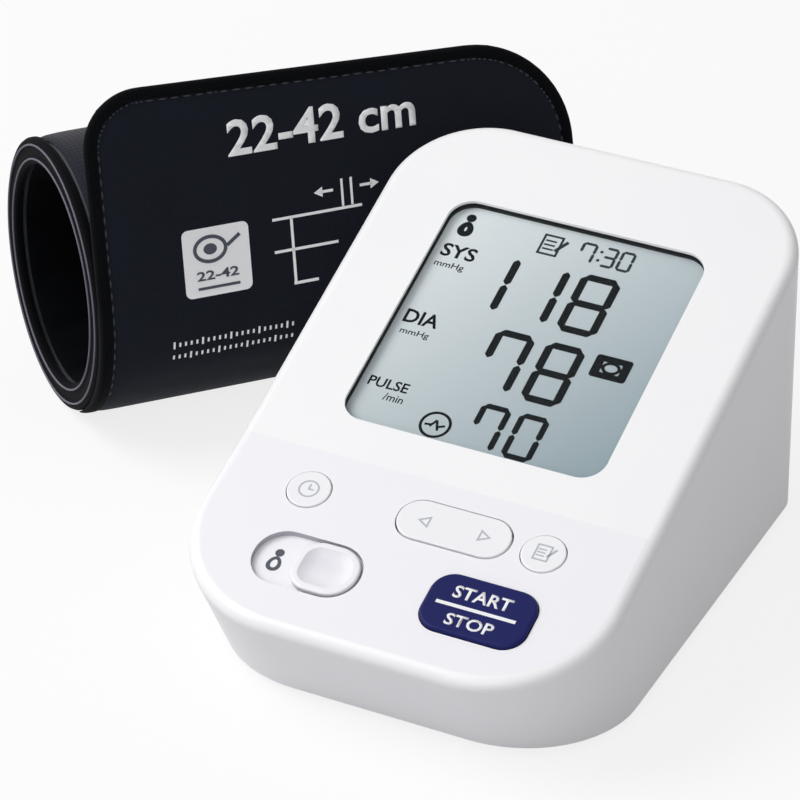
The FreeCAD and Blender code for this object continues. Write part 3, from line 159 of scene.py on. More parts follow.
# woven or knitted cuff cloth on the flat cut's own UV: warp over weft, a little paler on the crowns of the threads
def wovenCloth(name, pale, deep, threadMm, reliefMm, sheen, roughness=0.82, shine=0.15):
    material, tree = startMaterial(name, Sheen_Weight=sheen, Sheen_Roughness=0.45, IOR=1.5, Specular_IOR_Level=shine)
    place = addNode(tree, "ShaderNodeUVMap", {"uv_map": "weave"}).outputs["UV"]
    bands = {"wave_type": "BANDS", "Scale": bandScale(threadMm), "Distortion": 0.5, "Detail": 1.0, "Vector": place}
    warp, weft = (addNode(tree, "ShaderNodeTexWave", {**bands, "bands_direction": way}).outputs["Fac"] for way in "XY")
    weave = reckon(tree, "MULTIPLY", warp, weft)
    shade = reckon(tree, "MULTIPLY_ADD", weave, 0.25, mottle(tree, place, 16, 4.0))
    return feed(material, Base_Color=mixTones(tree, shade, deep, pale),
                Roughness=spread(tree, weave, roughness + 0.08, roughness - 0.06),
                Normal=relief(tree, weave, reliefMm, Strength=0.6))


# reflective liquid crystal panel: grey-green polariser under a painted highlight, palest at its upper left and darkest
# at its lower right, as in the photograph
def liquidCrystalPaintedGlare(name, low, high):
    material, tree = startMaterial(name, IOR=1.5, Specular_IOR_Level=0.25)
    place = objectPlace(tree)
    span = high - low
    squared = addNode(tree, "ShaderNodeMapping",
                      {"Location": (-low.x / span.x, 0, -low.z / span.z),
                       "Scale": (1 / span.x, 1, 1 / span.z), "Vector": place})
    sides = addNode(tree, "ShaderNodeSeparateXYZ", {"Vector": squared.outputs["Vector"]}).outputs
    # painted highlight: the tone lifts towards the left and the top of the panel
    across = reckon(tree, "MULTIPLY", sides["X"], 0.55)
    down = reckon(tree, "MULTIPLY_ADD", sides["Z"], -0.45, 0.45)
    return feed(material, Base_Color=mixTones(tree, reckon(tree, "ADD", across, down), "#e8eff1", "#879ca5"),
                Roughness=spread(tree, mottle(tree, place, 0.6), 0.38, 0.5))


# glass-fibre board under green solder mask, with paler tracks
# the tracks are drawn coarser than real ones so that they show
def circuitBoard(name):
    material, tree = startMaterial(name, IOR=1.52)
    place = objectPlace(tree)
    tracks = addNode(tree, "ShaderNodeTexBrick",
                     {"Scale": 1 / (9 * mm), "Mortar Size": 0.03, "Color1": linear("#1f6b3c"),
                      "Color2": linear("#1a5e35"), "Mortar": linear("#4e9a5e"), "Vector": place})
    return feed(material, Base_Color=tracks.outputs["Color"],
                Roughness=spread(tree, mottle(tree, place, 0.7), 0.28, 0.45))


# shrink sleeve of an AA cell: dark jacket with a copper-coloured band at one end, glossy film
def cellSleeve(name, low, high):
    material, tree = startMaterial(name, IOR=1.5, Roughness=0.28, Coat_Weight=0.3)
    place = objectPlace(tree)
    run = "X" if high.x - low.x > high.y - low.y else "Y"
    first, last = (low.x, high.x) if run == "X" else (low.y, high.y)
    sides = addNode(tree, "ShaderNodeSeparateXYZ", {"Vector": place})
    along = addNode(tree, "ShaderNodeMapRange", {"From Min": first, "From Max": last, "Value": sides.outputs[run]})
    band = reckon(tree, "GREATER_THAN", along.outputs["Result"], 0.72)
    dark = mixTones(tree, mottle(tree, place, 3, 3.0), "#26282c", "#33363b")
    return feed(material, Base_Color=mixTones(tree, band, dark, "#b4763c"))


# layered conductive strips: thin black carbon lines in pink silicone, drawn at 0.6 mm so that they show
def zebraStrip(name):
    material, tree = startMaterial(name, IOR=1.43, Roughness=0.6)
    layers = addNode(tree, "ShaderNodeTexWave", {"wave_type": "BANDS", "bands_direction": "X",
                                                 "Scale": bandScale(0.6), "Vector": objectPlace(tree)})
    return feed(material, Base_Color=mixTones(tree, layers.outputs["Fac"], "#2b2527", "#c98d92"))


# hook side of a touch tape: rows of stiff nylon hooks, drawn at 1.6 mm as little dark knobs
def hookTape(name):
    material, tree = startMaterial(name, IOR=1.53, Roughness=0.5, Sheen_Weight=0.15)
    hooks = addNode(tree, "ShaderNodeTexVoronoi",
                    {"Scale": 1 / (1.6 * mm), "Randomness": 0.25, "Vector": objectPlace(tree)}).outputs["Distance"]
    return feed(material, Base_Color=mixTones(tree, hooks, "#34363d", "#101115"),
                Normal=relief(tree, hooks, 0.3, Strength=1.0, invert=True))


# the output that colours a finish so far
def ownTone(material):
    return material.node_tree.nodes["Principled BSDF"].inputs["Base Color"].links[0].from_socket


# the case: satin white, with a painted shade that leaves the lower panel's face a little darker and cooler than the
# upper one, drawing a clean line at the fold of the face
def caseFinishPaintedFoldShade(name, foldAt):
    material = moulded(name, "#f8f8f9", "#f4f4f6", 0.4, IOR=1.54)
    tree = material.node_tree
    place = addNode(tree, "ShaderNodeTexCoord", {}).outputs
    spot, facing = (addNode(tree, "ShaderNodeSeparateXYZ", {"Vector": place[kind]}).outputs
                    for kind in ("Object", "Normal"))
    # painted shade: upward faces in front of the fold take the darker, cooler tone
    before = reckon(tree, "LESS_THAN", spot["Y"], foldAt)
    upward = reckon(tree, "GREATER_THAN", facing["Z"], 0.9)
    lower = reckon(tree, "MULTIPLY", before, upward)
    return feed(material, Base_Color=mixTones(tree, lower, ownTone(material), "#f3f2f7"))


# the knob's finger scoop: a matt dish with a painted shade, greyest at its far corner and as pale as the knob at the
# near one
def scoopPaintedShade(name, start, end):
    material = moulded(name, "#f7f6fa", "#f0eff5", 0.5, IOR=1.48)
    tree = material.node_tree
    # painted shade: the tone greys from the near corner towards the far one
    way = (end - start) / (end - start).length_squared
    along = addNode(tree, "ShaderNodeVectorMath", {"operation": "DOT_PRODUCT", 0: objectPlace(tree), 1: way})
    lift = addNode(tree, "ShaderNodeMapRange",
                   {"From Min": start.dot(way), "From Max": end.dot(way), "Value": along.outputs["Value"]})
    return feed(material, Base_Color=mixTones(tree, lift.outputs["Result"], "#e0dfe6", ownTone(material)))


# ink or foil on a surface: nearly flat tone with the slight mottling of a screen print
def printedInk(name, pale, deep, roughness=0.5, shine=0.5):
    return moulded(name, pale, deep, roughness, grainMm=0.5, grainDepthMm=0.002, IOR=1.48, Specular_IOR_Level=shine)


# polished clear acrylic: lets the display through with a faint veil and a clean gloss
def clearSheet(name):
    material, tree = startMaterial(name, Base_Color=linear("#7d868a"), IOR=1.49, Alpha=0.02)
    return feed(material, Roughness=spread(tree, mottle(tree, objectPlace(tree), 4, 4.0), 0.04, 0.1))


glassLow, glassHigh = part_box("display_glass")
finishes = {
    "white_case": caseFinishPaintedFoldShade("satinWhiteAbsPaintedFoldShade", upperPanel["edge"][1] * mm),    # satin white, the lower panel's face painted a shade darker and cooler
    "white_cover": moulded("mattWhiteAbs", "#f1f1f3", "#e9e9ec", 0.5, IOR=1.54),    # duller white than the case
    "screw_steel": rolledMetal("zincPlatedSteel", "#c6c9cf", "#9a9da4", 0.3),    # small cool glints
    "contact_metal": rolledMetal("nickelPlatedStrip", "#d2cfc6", "#aaa79e", 0.26, streak=(12, 1, 1)),    # a warm shine
    "clear_window": clearSheet("clearAcrylic"),
    # a dead black line round the glass
    "black_gasket": moulded("blackFoamGasket", "#17181a", "#0c0d0e", 0.85, grainMm=0.7, grainDepthMm=0.05, IOR=1.45),
    "display_glass": liquidCrystalPaintedGlare("reflectiveDisplayPaintedGlare", glassLow, glassHigh),
    "tray_plastic": moulded("greyStyreneTray", "#c9cbcf", "#bbbdc2", 0.55, IOR=1.59),    # plain pale grey
    "strip_rubber": zebraStrip("zebraConnectorRubber"),
    "circuit_board": circuitBoard("greenCircuitBoard"),
    "black_plastic": moulded("blackNylonMoulding", "#1c1d20", "#141518", 0.5, IOR=1.53),    # dark with a soft shine
    "button_plastic": moulded("softWhiteAbsKey", "#f5f5f8", "#f0f0f4", 0.4, IOR=1.54),    # satin, cooler than the case
    # one deep even blue with hardly any shine
    "navy_button": moulded("navyAbsKey", "#14195a", "#101552", 0.42, IOR=1.54, Specular_IOR_Level=0.14),
    "knob_plastic": moulded("palePolyacetalKnob", "#f7f6fa", "#f0eff5", 0.34, IOR=1.48),    # slicker than the case
    "key_silicone": moulded("greySiliconeMat", "#b9bec6", "#aab0b9", 0.7, IOR=1.43),    # soft grey without gloss
    "grey_plastic": moulded("greyAbsFitting", "#9a9da3", "#8c8f96", 0.45, IOR=1.54),    # neutral satin grey
    "motor_steel": rolledMetal("drawnSteelCan", "#b7bac0", "#8f9299", 0.33, streak=(12, 1, 1)),    # drawn streaks
    "cradle_rubber": moulded("blackRubberCradle", "#202124", "#17181a", 0.8, IOR=1.52),    # dull black
    # grey with a faintly wet gloss
    "hose_rubber": moulded("greySiliconeHose", "#8f949b", "#7e838b", 0.5, IOR=1.43, Coat_Weight=0.1),
    "curler_sheet": moulded("clearGreyPolyesterSheet", "#7d828a", "#6b7078", 0.3, IOR=1.57),    # smooth grey film
    "hook_tape": hookTape("nylonHookTape"),
}
# brushed nylon outside, smoother nylon inside
# the thread is drawn at 0.8 mm, coarser than the real 0.3 mm, so that it shows
outerCloth = wovenCloth("navyBlackNylonCloth", "#131722", "#0c1019", 0.8, 0.04, 0.06)
innerCloth = wovenCloth("blackNylonLining", "#050609", "#030405", 0.8, 0.04, 0.01, shine=0.04)
# soft pile that the hooks hold, a little greyer than the flap
fleeceCloth = wovenCloth("charcoalLoopFleece", "#272832", "#1c1d26", 1.4, 0.12, 0.2, roughness=0.9)
# a tight flat rib, nearly black
edgeTape = wovenCloth("ribbedEdgeTape", "#090a0e", "#050608", 1.1, 0.05, 0.02, shine=0.06)
# smooth grey film with a low gloss
bladderFilm = wovenCloth("coatedBladderFilm", "#4a4e57", "#3c4049", 0.9, 0.02, 0.05, roughness=0.5)
# dull stitches just lighter than the tape, and pale lines on the roll's ends
seamThread = moulded("darkPolyesterThread", "#24262f", "#1a1c24", 0.7, grainMm=0.4, grainDepthMm=0.02, IOR=1.55)
paleThread = moulded("palePipingThread", "#6c6a76", "#575563", 0.7, grainMm=0.4, grainDepthMm=0.02, IOR=1.55)
# the walls of the slide's recess in a painted shade, darker grey than the case and dull, that outlines the recess
recessWallPaintedShade = moulded("recessPaintedShadeAbs", "#b3b2b9", "#a9a8b0", 0.6, IOR=1.54)
# flat inks: white on the cuff, greys on the pale keys, white on the start key, near black in the display
whiteInk = printedInk("whiteScreenInk", "#fafafb", "#f1f2f4", 0.55)
greyInk = printedInk("paleGreyPadInk", "#bcbec6", "#b2b4bd")
darkInk = printedInk("slateGreyPadInk", "#484d5a", "#3d424e")
keyInk = printedInk("whiteKeyInk", "#f7f7f9", "#eeeef1")
segmentInk = printedInk("darkCrystalSegment", "#101315", "#0a0d0f", 0.6, shine=0.05)
greySegment = printedInk("halfCrystalSegment", "#3a4246", "#30383c", 0.6, shine=0.05)

finishes.update(cuff_inner_cloth=innerCloth, bladder_sheet=bladderFilm, cuff_outer_cloth=outerCloth, cuff_tape=edgeTape)
for row in frame["record"]["subparts"]:
    member, slot = row["node"], row["material_slot"]
    finish = cellSleeve("cellSleeve_" + member, *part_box(member)) if slot == "cell_jacket" else finishes[slot]
    nodes[member].data.materials.clear()
    nodes[member].data.materials.append(finish)
print("finishes given to", len(nodes), "nodes")


# a bmesh becomes a finished object with its place in the mesh
def makePiece(bm, name, materials, smooth=True):
    mesh = bpy.data.meshes.new(name)
    bm.to_mesh(mesh)
    bm.free()
    for material in materials:
        mesh.materials.append(material)
    if smooth:
        mesh.shade_smooth()
    piece = bpy.data.objects.new(name, mesh)
    bpy.context.scene.collection.objects.link(piece)
    return piece


def bakeModifiers(piece):
    depsgraph = bpy.context.evaluated_depsgraph_get()
    done = bpy.data.meshes.new_from_object(piece.evaluated_get(depsgraph), preserve_all_data_layers=True,
                                           depsgraph=depsgraph)
    piece.modifiers.clear()
    piece.data = done


def roundPiece(piece):
    rounding = piece.modifiers.new("rounding", "SUBSURF")
    rounding.levels = rounding.render_levels = 1
    bakeModifiers(piece)


def roundOff(bm, geom, radius, steps, affect="VERTICES"):
    bmesh.ops.bevel(bm, geom=geom, offset=radius, offset_type="OFFSET", affect=affect, segments=steps, profile=0.5,
                    material=-1)


def insetFace(bm, face, width):
    bmesh.ops.inset_region(bm, faces=[face], thickness=width, use_boundary=True, use_even_offset=True)


def pointsOf(geom):
    return [g for g in geom if isinstance(g, bmesh.types.BMVert)]


def weld(bm):
    bmesh.ops.remove_doubles(bm, verts=bm.verts, dist=0.0005)
    bmesh.ops.recalc_face_normals(bm, faces=bm.faces)


# cuts a flat mesh on planes square to a direction
def cutAcross(bm, normal, places):
    for place in places:
        bmesh.ops.bisect_plane(bm, geom=bm.verts[:] + bm.edges[:] + bm.faces[:], dist=0.001,
                               plane_co=Vector(normal) * place, plane_no=normal)


# flat marks are drawn in millimetres, x to the right and y up the panel
def addPlate(bm, x, y, width, height, turn=0.0, corner=0.0, steps=1):
    place = Matrix.Translation((x, y, 0)) @ Matrix.Rotation(math.radians(turn), 4, "Z") @ Matrix.Diagonal(
        (width, height, 1, 1))
    made = bmesh.ops.create_grid(bm, x_segments=1, y_segments=1, size=0.5, matrix=place)["verts"]
    if corner:
        roundOff(bm, made, corner, steps)


def addDisc(bm, x, y, radius, width=0.0, sides=32, stretch=1.0, turn=0.0):
    place = Matrix.Translation((x, y, 0)) @ Matrix.Diagonal((stretch, 1, 1, 1)) @ Matrix.Rotation(
        math.radians(turn), 4, "Z")
    made = bmesh.ops.create_circle(bm, cap_ends=True, radius=radius, segments=sides, matrix=place)["verts"]
    face = made[0].link_faces[0]
    if width:    # a ring is the disc inset, with its middle taken out
        insetFace(bm, face, width)
        bmesh.ops.delete(bm, geom=[face], context="FACES_ONLY")


# plain built-in lettering, fitted to the box that it fills
def addWord(bm, words, left, low, width, height, bold=0.02):
    curve = bpy.data.curves.new("word", "FONT")
    curve.body = words
    curve.resolution_u = 3
    curve.offset = bold
    holder = bpy.data.objects.new("word", curve)
    mesh = bpy.data.meshes.new_from_object(holder)
    xs = [v.co.x for v in mesh.vertices]
    ys = [v.co.y for v in mesh.vertices]
    fit = Matrix.Diagonal((width / (max(xs) - min(xs)), height / (max(ys) - min(ys)), 1, 1))
    mesh.transform(Matrix.Translation((left, low, 0)) @ fit @ Matrix.Translation((-min(xs), -min(ys), 0)))
    bm.from_mesh(mesh)
    bpy.data.objects.remove(holder)
    bpy.data.meshes.remove(mesh)


# the seven bars of a digit by name: top, middle, bottom and the uprights
digitBars = {"0": "t b ul ur ll lr", "1": "ur lr", "3": "t m b ur lr", "7": "t ul ur lr", "8": "t m b ul ur ll lr"}


def addDigit(bm, digit, right, low, width, height, bar):
    middle, half, gap = low + height / 2, (height - bar) / 2, bar * 0.12
    left = right - width
    flat = {"t": low + height - bar / 2, "m": middle, "b": low + bar / 2}
    upright = {"u": middle + half / 2, "l": middle - half / 2}
    for name in digitBars[digit].split():
        if name in flat:
            addPlate(bm, (left + right) / 2, flat[name], width - bar - gap, bar, corner=bar * 0.42)
        else:
            side = left + bar / 2 if name[1] == "l" else right - bar / 2
            addPlate(bm, side, upright[name[0]], bar, half - gap, corner=bar * 0.42)


# a panel's own frame in millimetres, raised by a height
def panelMatrix(panel, height):
    return Matrix.Scale(mm, 4) @ Matrix.Translation(panel["edge"]) @ Matrix.Rotation(
        math.radians(panel["tilt"]), 4, "X") @ Matrix.Translation((0, 0, height))


def thicken(bm, thickness):
    raised = bmesh.ops.extrude_face_region(bm, geom=bm.faces[:], use_keep_orig=True)["geom"]
    bmesh.ops.translate(bm, verts=pointsOf(raised), vec=(0, 0, thickness))
    bmesh.ops.recalc_face_normals(bm, faces=bm.faces)


panelPrint = {"thick": 0.05, "sunk": 0.01}


# a print stands a little proud of the panel that carries it
def layPrint(bm, name, panel, height, body, material):
    thicken(bm, panelPrint["thick"])
    bmesh.ops.transform(bm, matrix=panelMatrix(panel, height - panelPrint["sunk"]), verts=bm.verts)
    piece = makePiece(bm, name, [material], smooth=False)
    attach(piece, body)


# a plain figure: a round head over a pear-shaped outline
def addPerson(bm, x, low, height, line):
    addDisc(bm, x, low + height * 0.83, height * 0.17)
    made = len(bm.verts)
    addDisc(bm, x, low + height * 0.33, height * 0.33, width=line, stretch=0.8)
    bm.verts.ensure_lookup_table()
    for vert in bm.verts[made:]:    # narrower shoulders, a broader foot
        vert.co.x = x + (vert.co.x - x) * (1.2 - 0.55 * (vert.co.y - low) / height)


display = {"glassHeight": -2.55, "right": 14.8, "pitch": 12.8, "smallPitch": 9.6, "smallUnder": 15,
           "zigzag": ((-12.2, 16.6, 1.7, 10), (-11.1, 17.2, 2.4, 62), (-10.0, 16.8, 3.0, -68), (-8.9, 16.8, 1.7, 25))}
# systolic, diastolic and pulse digits: text, low edge, height, digit width, bar
readings = [("118", 52.0, 18.3, 10.2, 1.95), ("78", 30.0, 18.4, 10.0, 1.95), ("70", 13.0, 13.6, 7.6, 1.5)]
segments = bmesh.new()
for text, low, height, width, bar in readings:
    step = display["pitch"] if height > display["smallUnder"] else display["smallPitch"]
    for place, digit in enumerate(reversed(text)):
        addDigit(segments, digit, display["right"] - step * place, low, width, height, bar)
# words with their left and low edge, width, height and boldness
labels = [("SYS", -31, 65.2, 8.9, 4.1, 0.02), ("mmHg", -31, 61.4, 7.6, 2.3, 0.005),
          ("DIA", -31, 43.4, 8.8, 4.1, 0.02), ("mmHg", -30.2, 39.5, 7.4, 2.2, 0.005),
          ("PULSE", -31, 23.2, 10.2, 2.9, 0.015), ("/min", -25.6, 20.0, 5.0, 2.2, 0.005)]
for label in labels:
    addWord(segments, *label)
addPerson(segments, -28.0, 72.2, 7.2, 1.6)
# beating-pulse sign: a ring with a plain zigzag in it
addDisc(segments, -10.5, 16.9, 3.9, width=0.7)
for x, y, length, turn in display["zigzag"]:
    addPlate(segments, x, y, length, 0.6, turn=turn)
# wrap-check sign: a dark rounded plate with a clear band and dot in it
for x in (18.6, 25.5):
    addPlate(segments, x, 44.9, 2.2, 6.8, corner=0.8, steps=3)
for y in (42.4, 47.4):
    addPlate(segments, 22.05, y, 6.0, 1.8)
addDisc(segments, 22.05, 44.9, 1.9, width=0.8, stretch=1.25)
layPrint(segments, "displaySegments", upperPanel, display["glassHeight"], "monitor", segmentInk)

faint = bmesh.new()    # the clock and the memory sign are thinner and read greyer
addDigit(faint, "7", 5.0, 73.2, 4.0, 6.3, 0.75)
for y in (74.9, 77.6):
    addDisc(faint, 6.3, y, 0.45, sides=8)
addDigit(faint, "3", 10.5, 73.2, 3.6, 6.3, 0.75)
addDigit(faint, "0", 14.8, 73.2, 3.7, 6.3, 0.75)
for y in (73.0, 78.8):
    addPlate(faint, -6.3, y, 4.9, 0.6)
for x in (-8.6, -4.0):
    addPlate(faint, x, 75.9, 0.6, 6.3)
for y in (74.6, 75.9, 77.2):
    addPlate(faint, -6.6, y, 2.8, 0.5)
addPlate(faint, -3.6, 76.2, 0.9, 4.2, turn=-32)
layPrint(faint, "displayFaintSigns", upperPanel, display["glassHeight"], "monitor", greySegment)
print("display drawn")

keys = {"roundHeight": 0.35, "startHeight": 0.9, "recessHeight": -1.6}
clockSign = bmesh.new()
addDisc(clockSign, -29.2, 40.1, 2.5, width=0.42)
addPlate(clockSign, -29.2, 40.75, 0.4, 1.5)
addPlate(clockSign, -28.6, 40.0, 1.3, 0.4)
layPrint(clockSign, "clockSign", lowerPanel, keys["roundHeight"], "clock_button", greyInk)

memorySign = bmesh.new()
for y in (38.1, 42.3):
    addPlate(memorySign, 29.0, y, 3.6, 0.42)
for x in (27.3, 30.7):
    addPlate(memorySign, x, 40.2, 0.42, 4.2)
for y in (39.3, 40.2, 41.1):
    addPlate(memorySign, 28.7, y, 2.0, 0.36)
addPlate(memorySign, 31.1, 40.6, 0.6, 3.0, turn=-32)
layPrint(memorySign, "memorySign", lowerPanel, keys["roundHeight"], "memory_button", greyInk)

arrowSigns = bmesh.new()
addDisc(arrowSigns, 0.3, 40.0, 2.0, width=0.42, sides=3, turn=90)
addDisc(arrowSigns, 14.4, 40.2, 2.0, width=0.42, sides=3, turn=-90)
layPrint(arrowSigns, "arrowSigns", lowerPanel, keys["roundHeight"], "arrow_rocker", greyInk)

startWords = bmesh.new()
addWord(startWords, "START", 14.8, 21.8, 14.0, 3.5)
addPlate(startWords, 21.65, 19.7, 19.3, 0.9)
addWord(startWords, "STOP", 16.0, 14.3, 11.5, 3.3)
layPrint(startWords, "startWords", lowerPanel, keys["startHeight"], "start_stop_button", keyInk)

userSign = bmesh.new()
addPerson(userSign, -28.3, 16.9, 6.4, 0.9)
layPrint(userSign, "userSign", lowerPanel, keys["recessHeight"], "monitor", darkInk)
print("key signs printed")

# the walls of the slide's recess, found by where they lie on the panel and by facing sideways, take the painted shade
recess = {"x": (-40, -4), "y": (10, 31), "z": (-1.7, 0), "mostUpward": 0.5}
caseMesh = nodes["upper_case"].data
caseMesh.materials.append(recessWallPaintedShade)
ontoPanel = panelMatrix(lowerPanel, 0).inverted()
for face in caseMesh.polygons:
    spot, facing = ontoPanel @ face.center, (ontoPanel.to_3x3() @ face.normal).normalized()
    inRecess = all(recess[axis][0] < getattr(spot, axis) < recess[axis][1] for axis in "xyz")
    if inRecess and abs(facing.z) < recess["mostUpward"]:
        face.material_index = 1

# sliding knob with a finger scoop: a dish of insets, each ring lower than the last
knob = {"centre": (-15.4, 20.2), "width": 15.6, "height": 13.8, "leftCorner": 5.3, "rightCorner": 6.6, "low": -1.3,
        "top": 0.5, "edge": 0.6, "lip": 1.0, "rings": 5, "ring": 0.68, "scoop": 0.9, "fade": ((-3.5, 2.0), (2.5, -4.2)),
        "stemX": -11.2, "stem": (3.0, 3.4, -5.6), "foot": (6.4, 7.0, -3.5, -2.7)}
# the scoop's painted shade runs between these two points
fadeStart, fadeEnd = (panelMatrix(lowerPanel, 0) @ Vector((knob["centre"][0] + x, knob["centre"][1] + y, 0))
                      for x, y in knob["fade"])
grip = bmesh.new()
place = Matrix.Translation((*knob["centre"], 0)) @ Matrix.Diagonal((knob["width"], knob["height"], 1, 1))
for corner in bmesh.ops.create_grid(grip, x_segments=1, y_segments=1, size=0.5, matrix=place)["verts"]:
    radius = knob["leftCorner"] if corner.co.x < knob["centre"][0] else knob["rightCorner"]
    roundOff(grip, [corner], radius, 10)


def raiseFrom(bm, faces, low, top):
    raised = bmesh.ops.extrude_face_region(bm, geom=faces, use_keep_orig=True)["geom"]
    bmesh.ops.translate(bm, verts=list({v for f in faces for v in f.verts}), vec=(0, 0, low))
    bmesh.ops.translate(bm, verts=pointsOf(raised), vec=(0, 0, top))
    return [g for g in raised if isinstance(g, bmesh.types.BMFace)]


crown = raiseFrom(grip, grip.faces[:], knob["low"], knob["top"])[0]
roundOff(grip, crown.edges[:], knob["edge"], 4, affect="EDGES")
crown = max(grip.faces, key=lambda f: f.calc_area() if f.calc_center_median().z > knob["top"] - 0.01 else 0)
insetFace(grip, crown, knob["lip"])
for edge in crown.edges:
    edge.smooth = False    # a clean rim round the dish
crown.material_index = 1    # the rings inset from it take its finish
for ring in range(1, knob["rings"] + 1):
    insetFace(grip, crown, knob["ring"])
    for vert in crown.verts:
        vert.co.z = knob["top"] - knob["scoop"] * (1 - (1 - ring / knob["rings"]) ** 2)
for width, height, low, top in ((*knob["stem"], knob["low"]), knob["foot"]):
    known = set(grip.faces)
    addPlate(grip, knob["stemX"], knob["centre"][1], width, height)
    raiseFrom(grip, [f for f in grip.faces if f not in known], low, top)
bmesh.ops.recalc_face_normals(grip, faces=grip.faces)
bmesh.ops.transform(grip, matrix=panelMatrix(lowerPanel, 0), verts=grip.verts)
mattScoopPaintedShade = scoopPaintedShade("mattPolyacetalScoopPaintedShade", fadeStart, fadeEnd)
userKnob = makePiece(grip, "userKnob", [finishes["knob_plastic"], mattScoopPaintedShade])
userKnob.modifiers.new("evenShade", "WEIGHTED_NORMAL").keep_sharp = True
bakeModifiers(userKnob)
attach(userKnob, "user_switch_knob")
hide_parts("user_switch_knob")
print("knob shaped")

# the key mat is parted at its domes, each soft dome a piece of its own
keyMat = {"rise": 1.2, "cutAbove": 0.03, "steps": 24,
          "shape": ((0.0, -0.2), (2.6, -0.2), (2.6, 0.15), (2.35, 0.6), (1.95, 1.0), (1.7, 1.2), (0.0, 1.2)),
          # joint that presses it, place on the panel, share of its height that is left
          "domes": (("clock_press", -29.2, 40.1, 0.46), ("memory_press", 29.2, 40.1, 0.46),
                    ("start_stop_press", 22.0, 20.4, 0.46), ("rocker_tilt", -1.3, 40.2, 0.58),
                    ("rocker_tilt", 15.7, 40.2, 0.58))}
matSheet = bmesh.new()
matSheet.from_mesh(nodes["key_mat"].data)
bmesh.ops.transform(matSheet, matrix=panelMatrix(lowerPanel, 0).inverted(), verts=matSheet.verts)
bmesh.ops.remove_doubles(matSheet, verts=matSheet.verts, dist=0.001)
matTop = max(v.co.z for v in matSheet.verts) - keyMat["rise"]
bmesh.ops.bisect_plane(matSheet, geom=matSheet.verts[:] + matSheet.edges[:] + matSheet.faces[:], dist=0.0001,
                       plane_co=(0, 0, matTop + keyMat["cutAbove"]), plane_no=(0, 0, 1), clear_outer=True)
bmesh.ops.holes_fill(matSheet, edges=[e for e in matSheet.edges if e.is_boundary], sides=0)
bmesh.ops.transform(matSheet, matrix=panelMatrix(lowerPanel, 0), verts=matSheet.verts)
keySheet = makePiece(matSheet, "keyMatSheet", [finishes["key_silicone"]], smooth=False)
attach(keySheet, "monitor")
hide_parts("key_mat")
for number, (joint, x, along, keep) in enumerate(keyMat["domes"], 1):
    dome = bmesh.new()
    rim = [dome.verts.new((radius, 0, rise)) for radius, rise in keyMat["shape"]]
    wire = [dome.edges.new(pair) for pair in zip(rim, rim[1:])]
    bmesh.ops.spin(dome, geom=rim + wire, axis=(0, 0, 1), cent=(0, 0, 0), angle=2 * math.pi, steps=keyMat["steps"],
                   use_merge=True)
    weld(dome)
    bmesh.ops.transform(dome, matrix=panelMatrix(lowerPanel, matTop) @ Matrix.Translation((x, along, 0)),
                        verts=dome.verts)
    domePiece = makePiece(dome, "keyDome_%d" % number, [finishes["key_silicone"]])
    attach(domePiece, "monitor")
    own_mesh(domePiece)
print("key mat parted")

# the cuff: a roll lying along its own x, with a flap that leaves its front and stands up
cuff = {"place": (-136.5, 30.8, 0), "turn": 48.8, "centre": 35.5, "length": 129.6, "steps": 96, "weaveRadius": 33}
cuffMatrix = Matrix.Scale(mm, 4) @ Matrix.Translation(cuff["place"]) @ Matrix.Rotation(
    math.radians(cuff["turn"]), 4, "Z")
flap = {"middle": 37.2, "leaves": 166.5, "low": -46.4, "topLeft": 54.2, "topRight": 49.67, "cornerLeft": 15.0,
        "cornerRight": 28.0, "grid": 3.2,
        # half thickness at each distance from the edge: rolled tape, a stitched groove, then the padded field
        "halves": ((0.0, 0.5), (0.35, 1.05), (0.9, 1.35), (2.4, 1.4), (3.0, 1.2), (3.4, 0.8), (3.9, 1.15), (5.0, 1.45),
                   (7.5, 1.55)),
        # edge tape, its seam and what is sewn down; the tail that thins and tucks; the hook patch; the bend
        "tape": 3.2, "seam": 3.4, "seamWithin": 0.02, "sewn": 3.95, "sewnTail": 24, "sewnBack": 10, "flatBack": 1.5,
        "thinned": 27.0, "tuck": 1.9, "backTuck": 0.5, "hooks": ((12, 100), (24, 44)), "bend": (5, 17),
        "pressure": 3.0, "mostPuff": 0.9}


# the flat cut bends round the roll below its leaving line and runs straight above it
def ontoFlap(across, up, out):
    leave = math.radians(flap["leaves"])
    if up >= 0:
        lean = leave - math.pi / 2
        y = flap["middle"] * math.cos(leave) + up * math.cos(lean) - out * math.sin(lean)
        z = flap["middle"] * math.sin(leave) + up * math.sin(lean) + out * math.cos(lean)
    else:
        angle = leave - up / flap["middle"]
        y = (flap["middle"] + out) * math.cos(angle)
        z = (flap["middle"] + out) * math.sin(angle)
    return cuffMatrix @ Vector((across, y, cuff["centre"] + z))


# cloth blown up a little between its seams; it runs a hundred times smaller than millimetres and is then capped
puff = {"shrink": 100, "frames": 20, "mass": 0.2, "stretch": 12, "bending": 1.5}


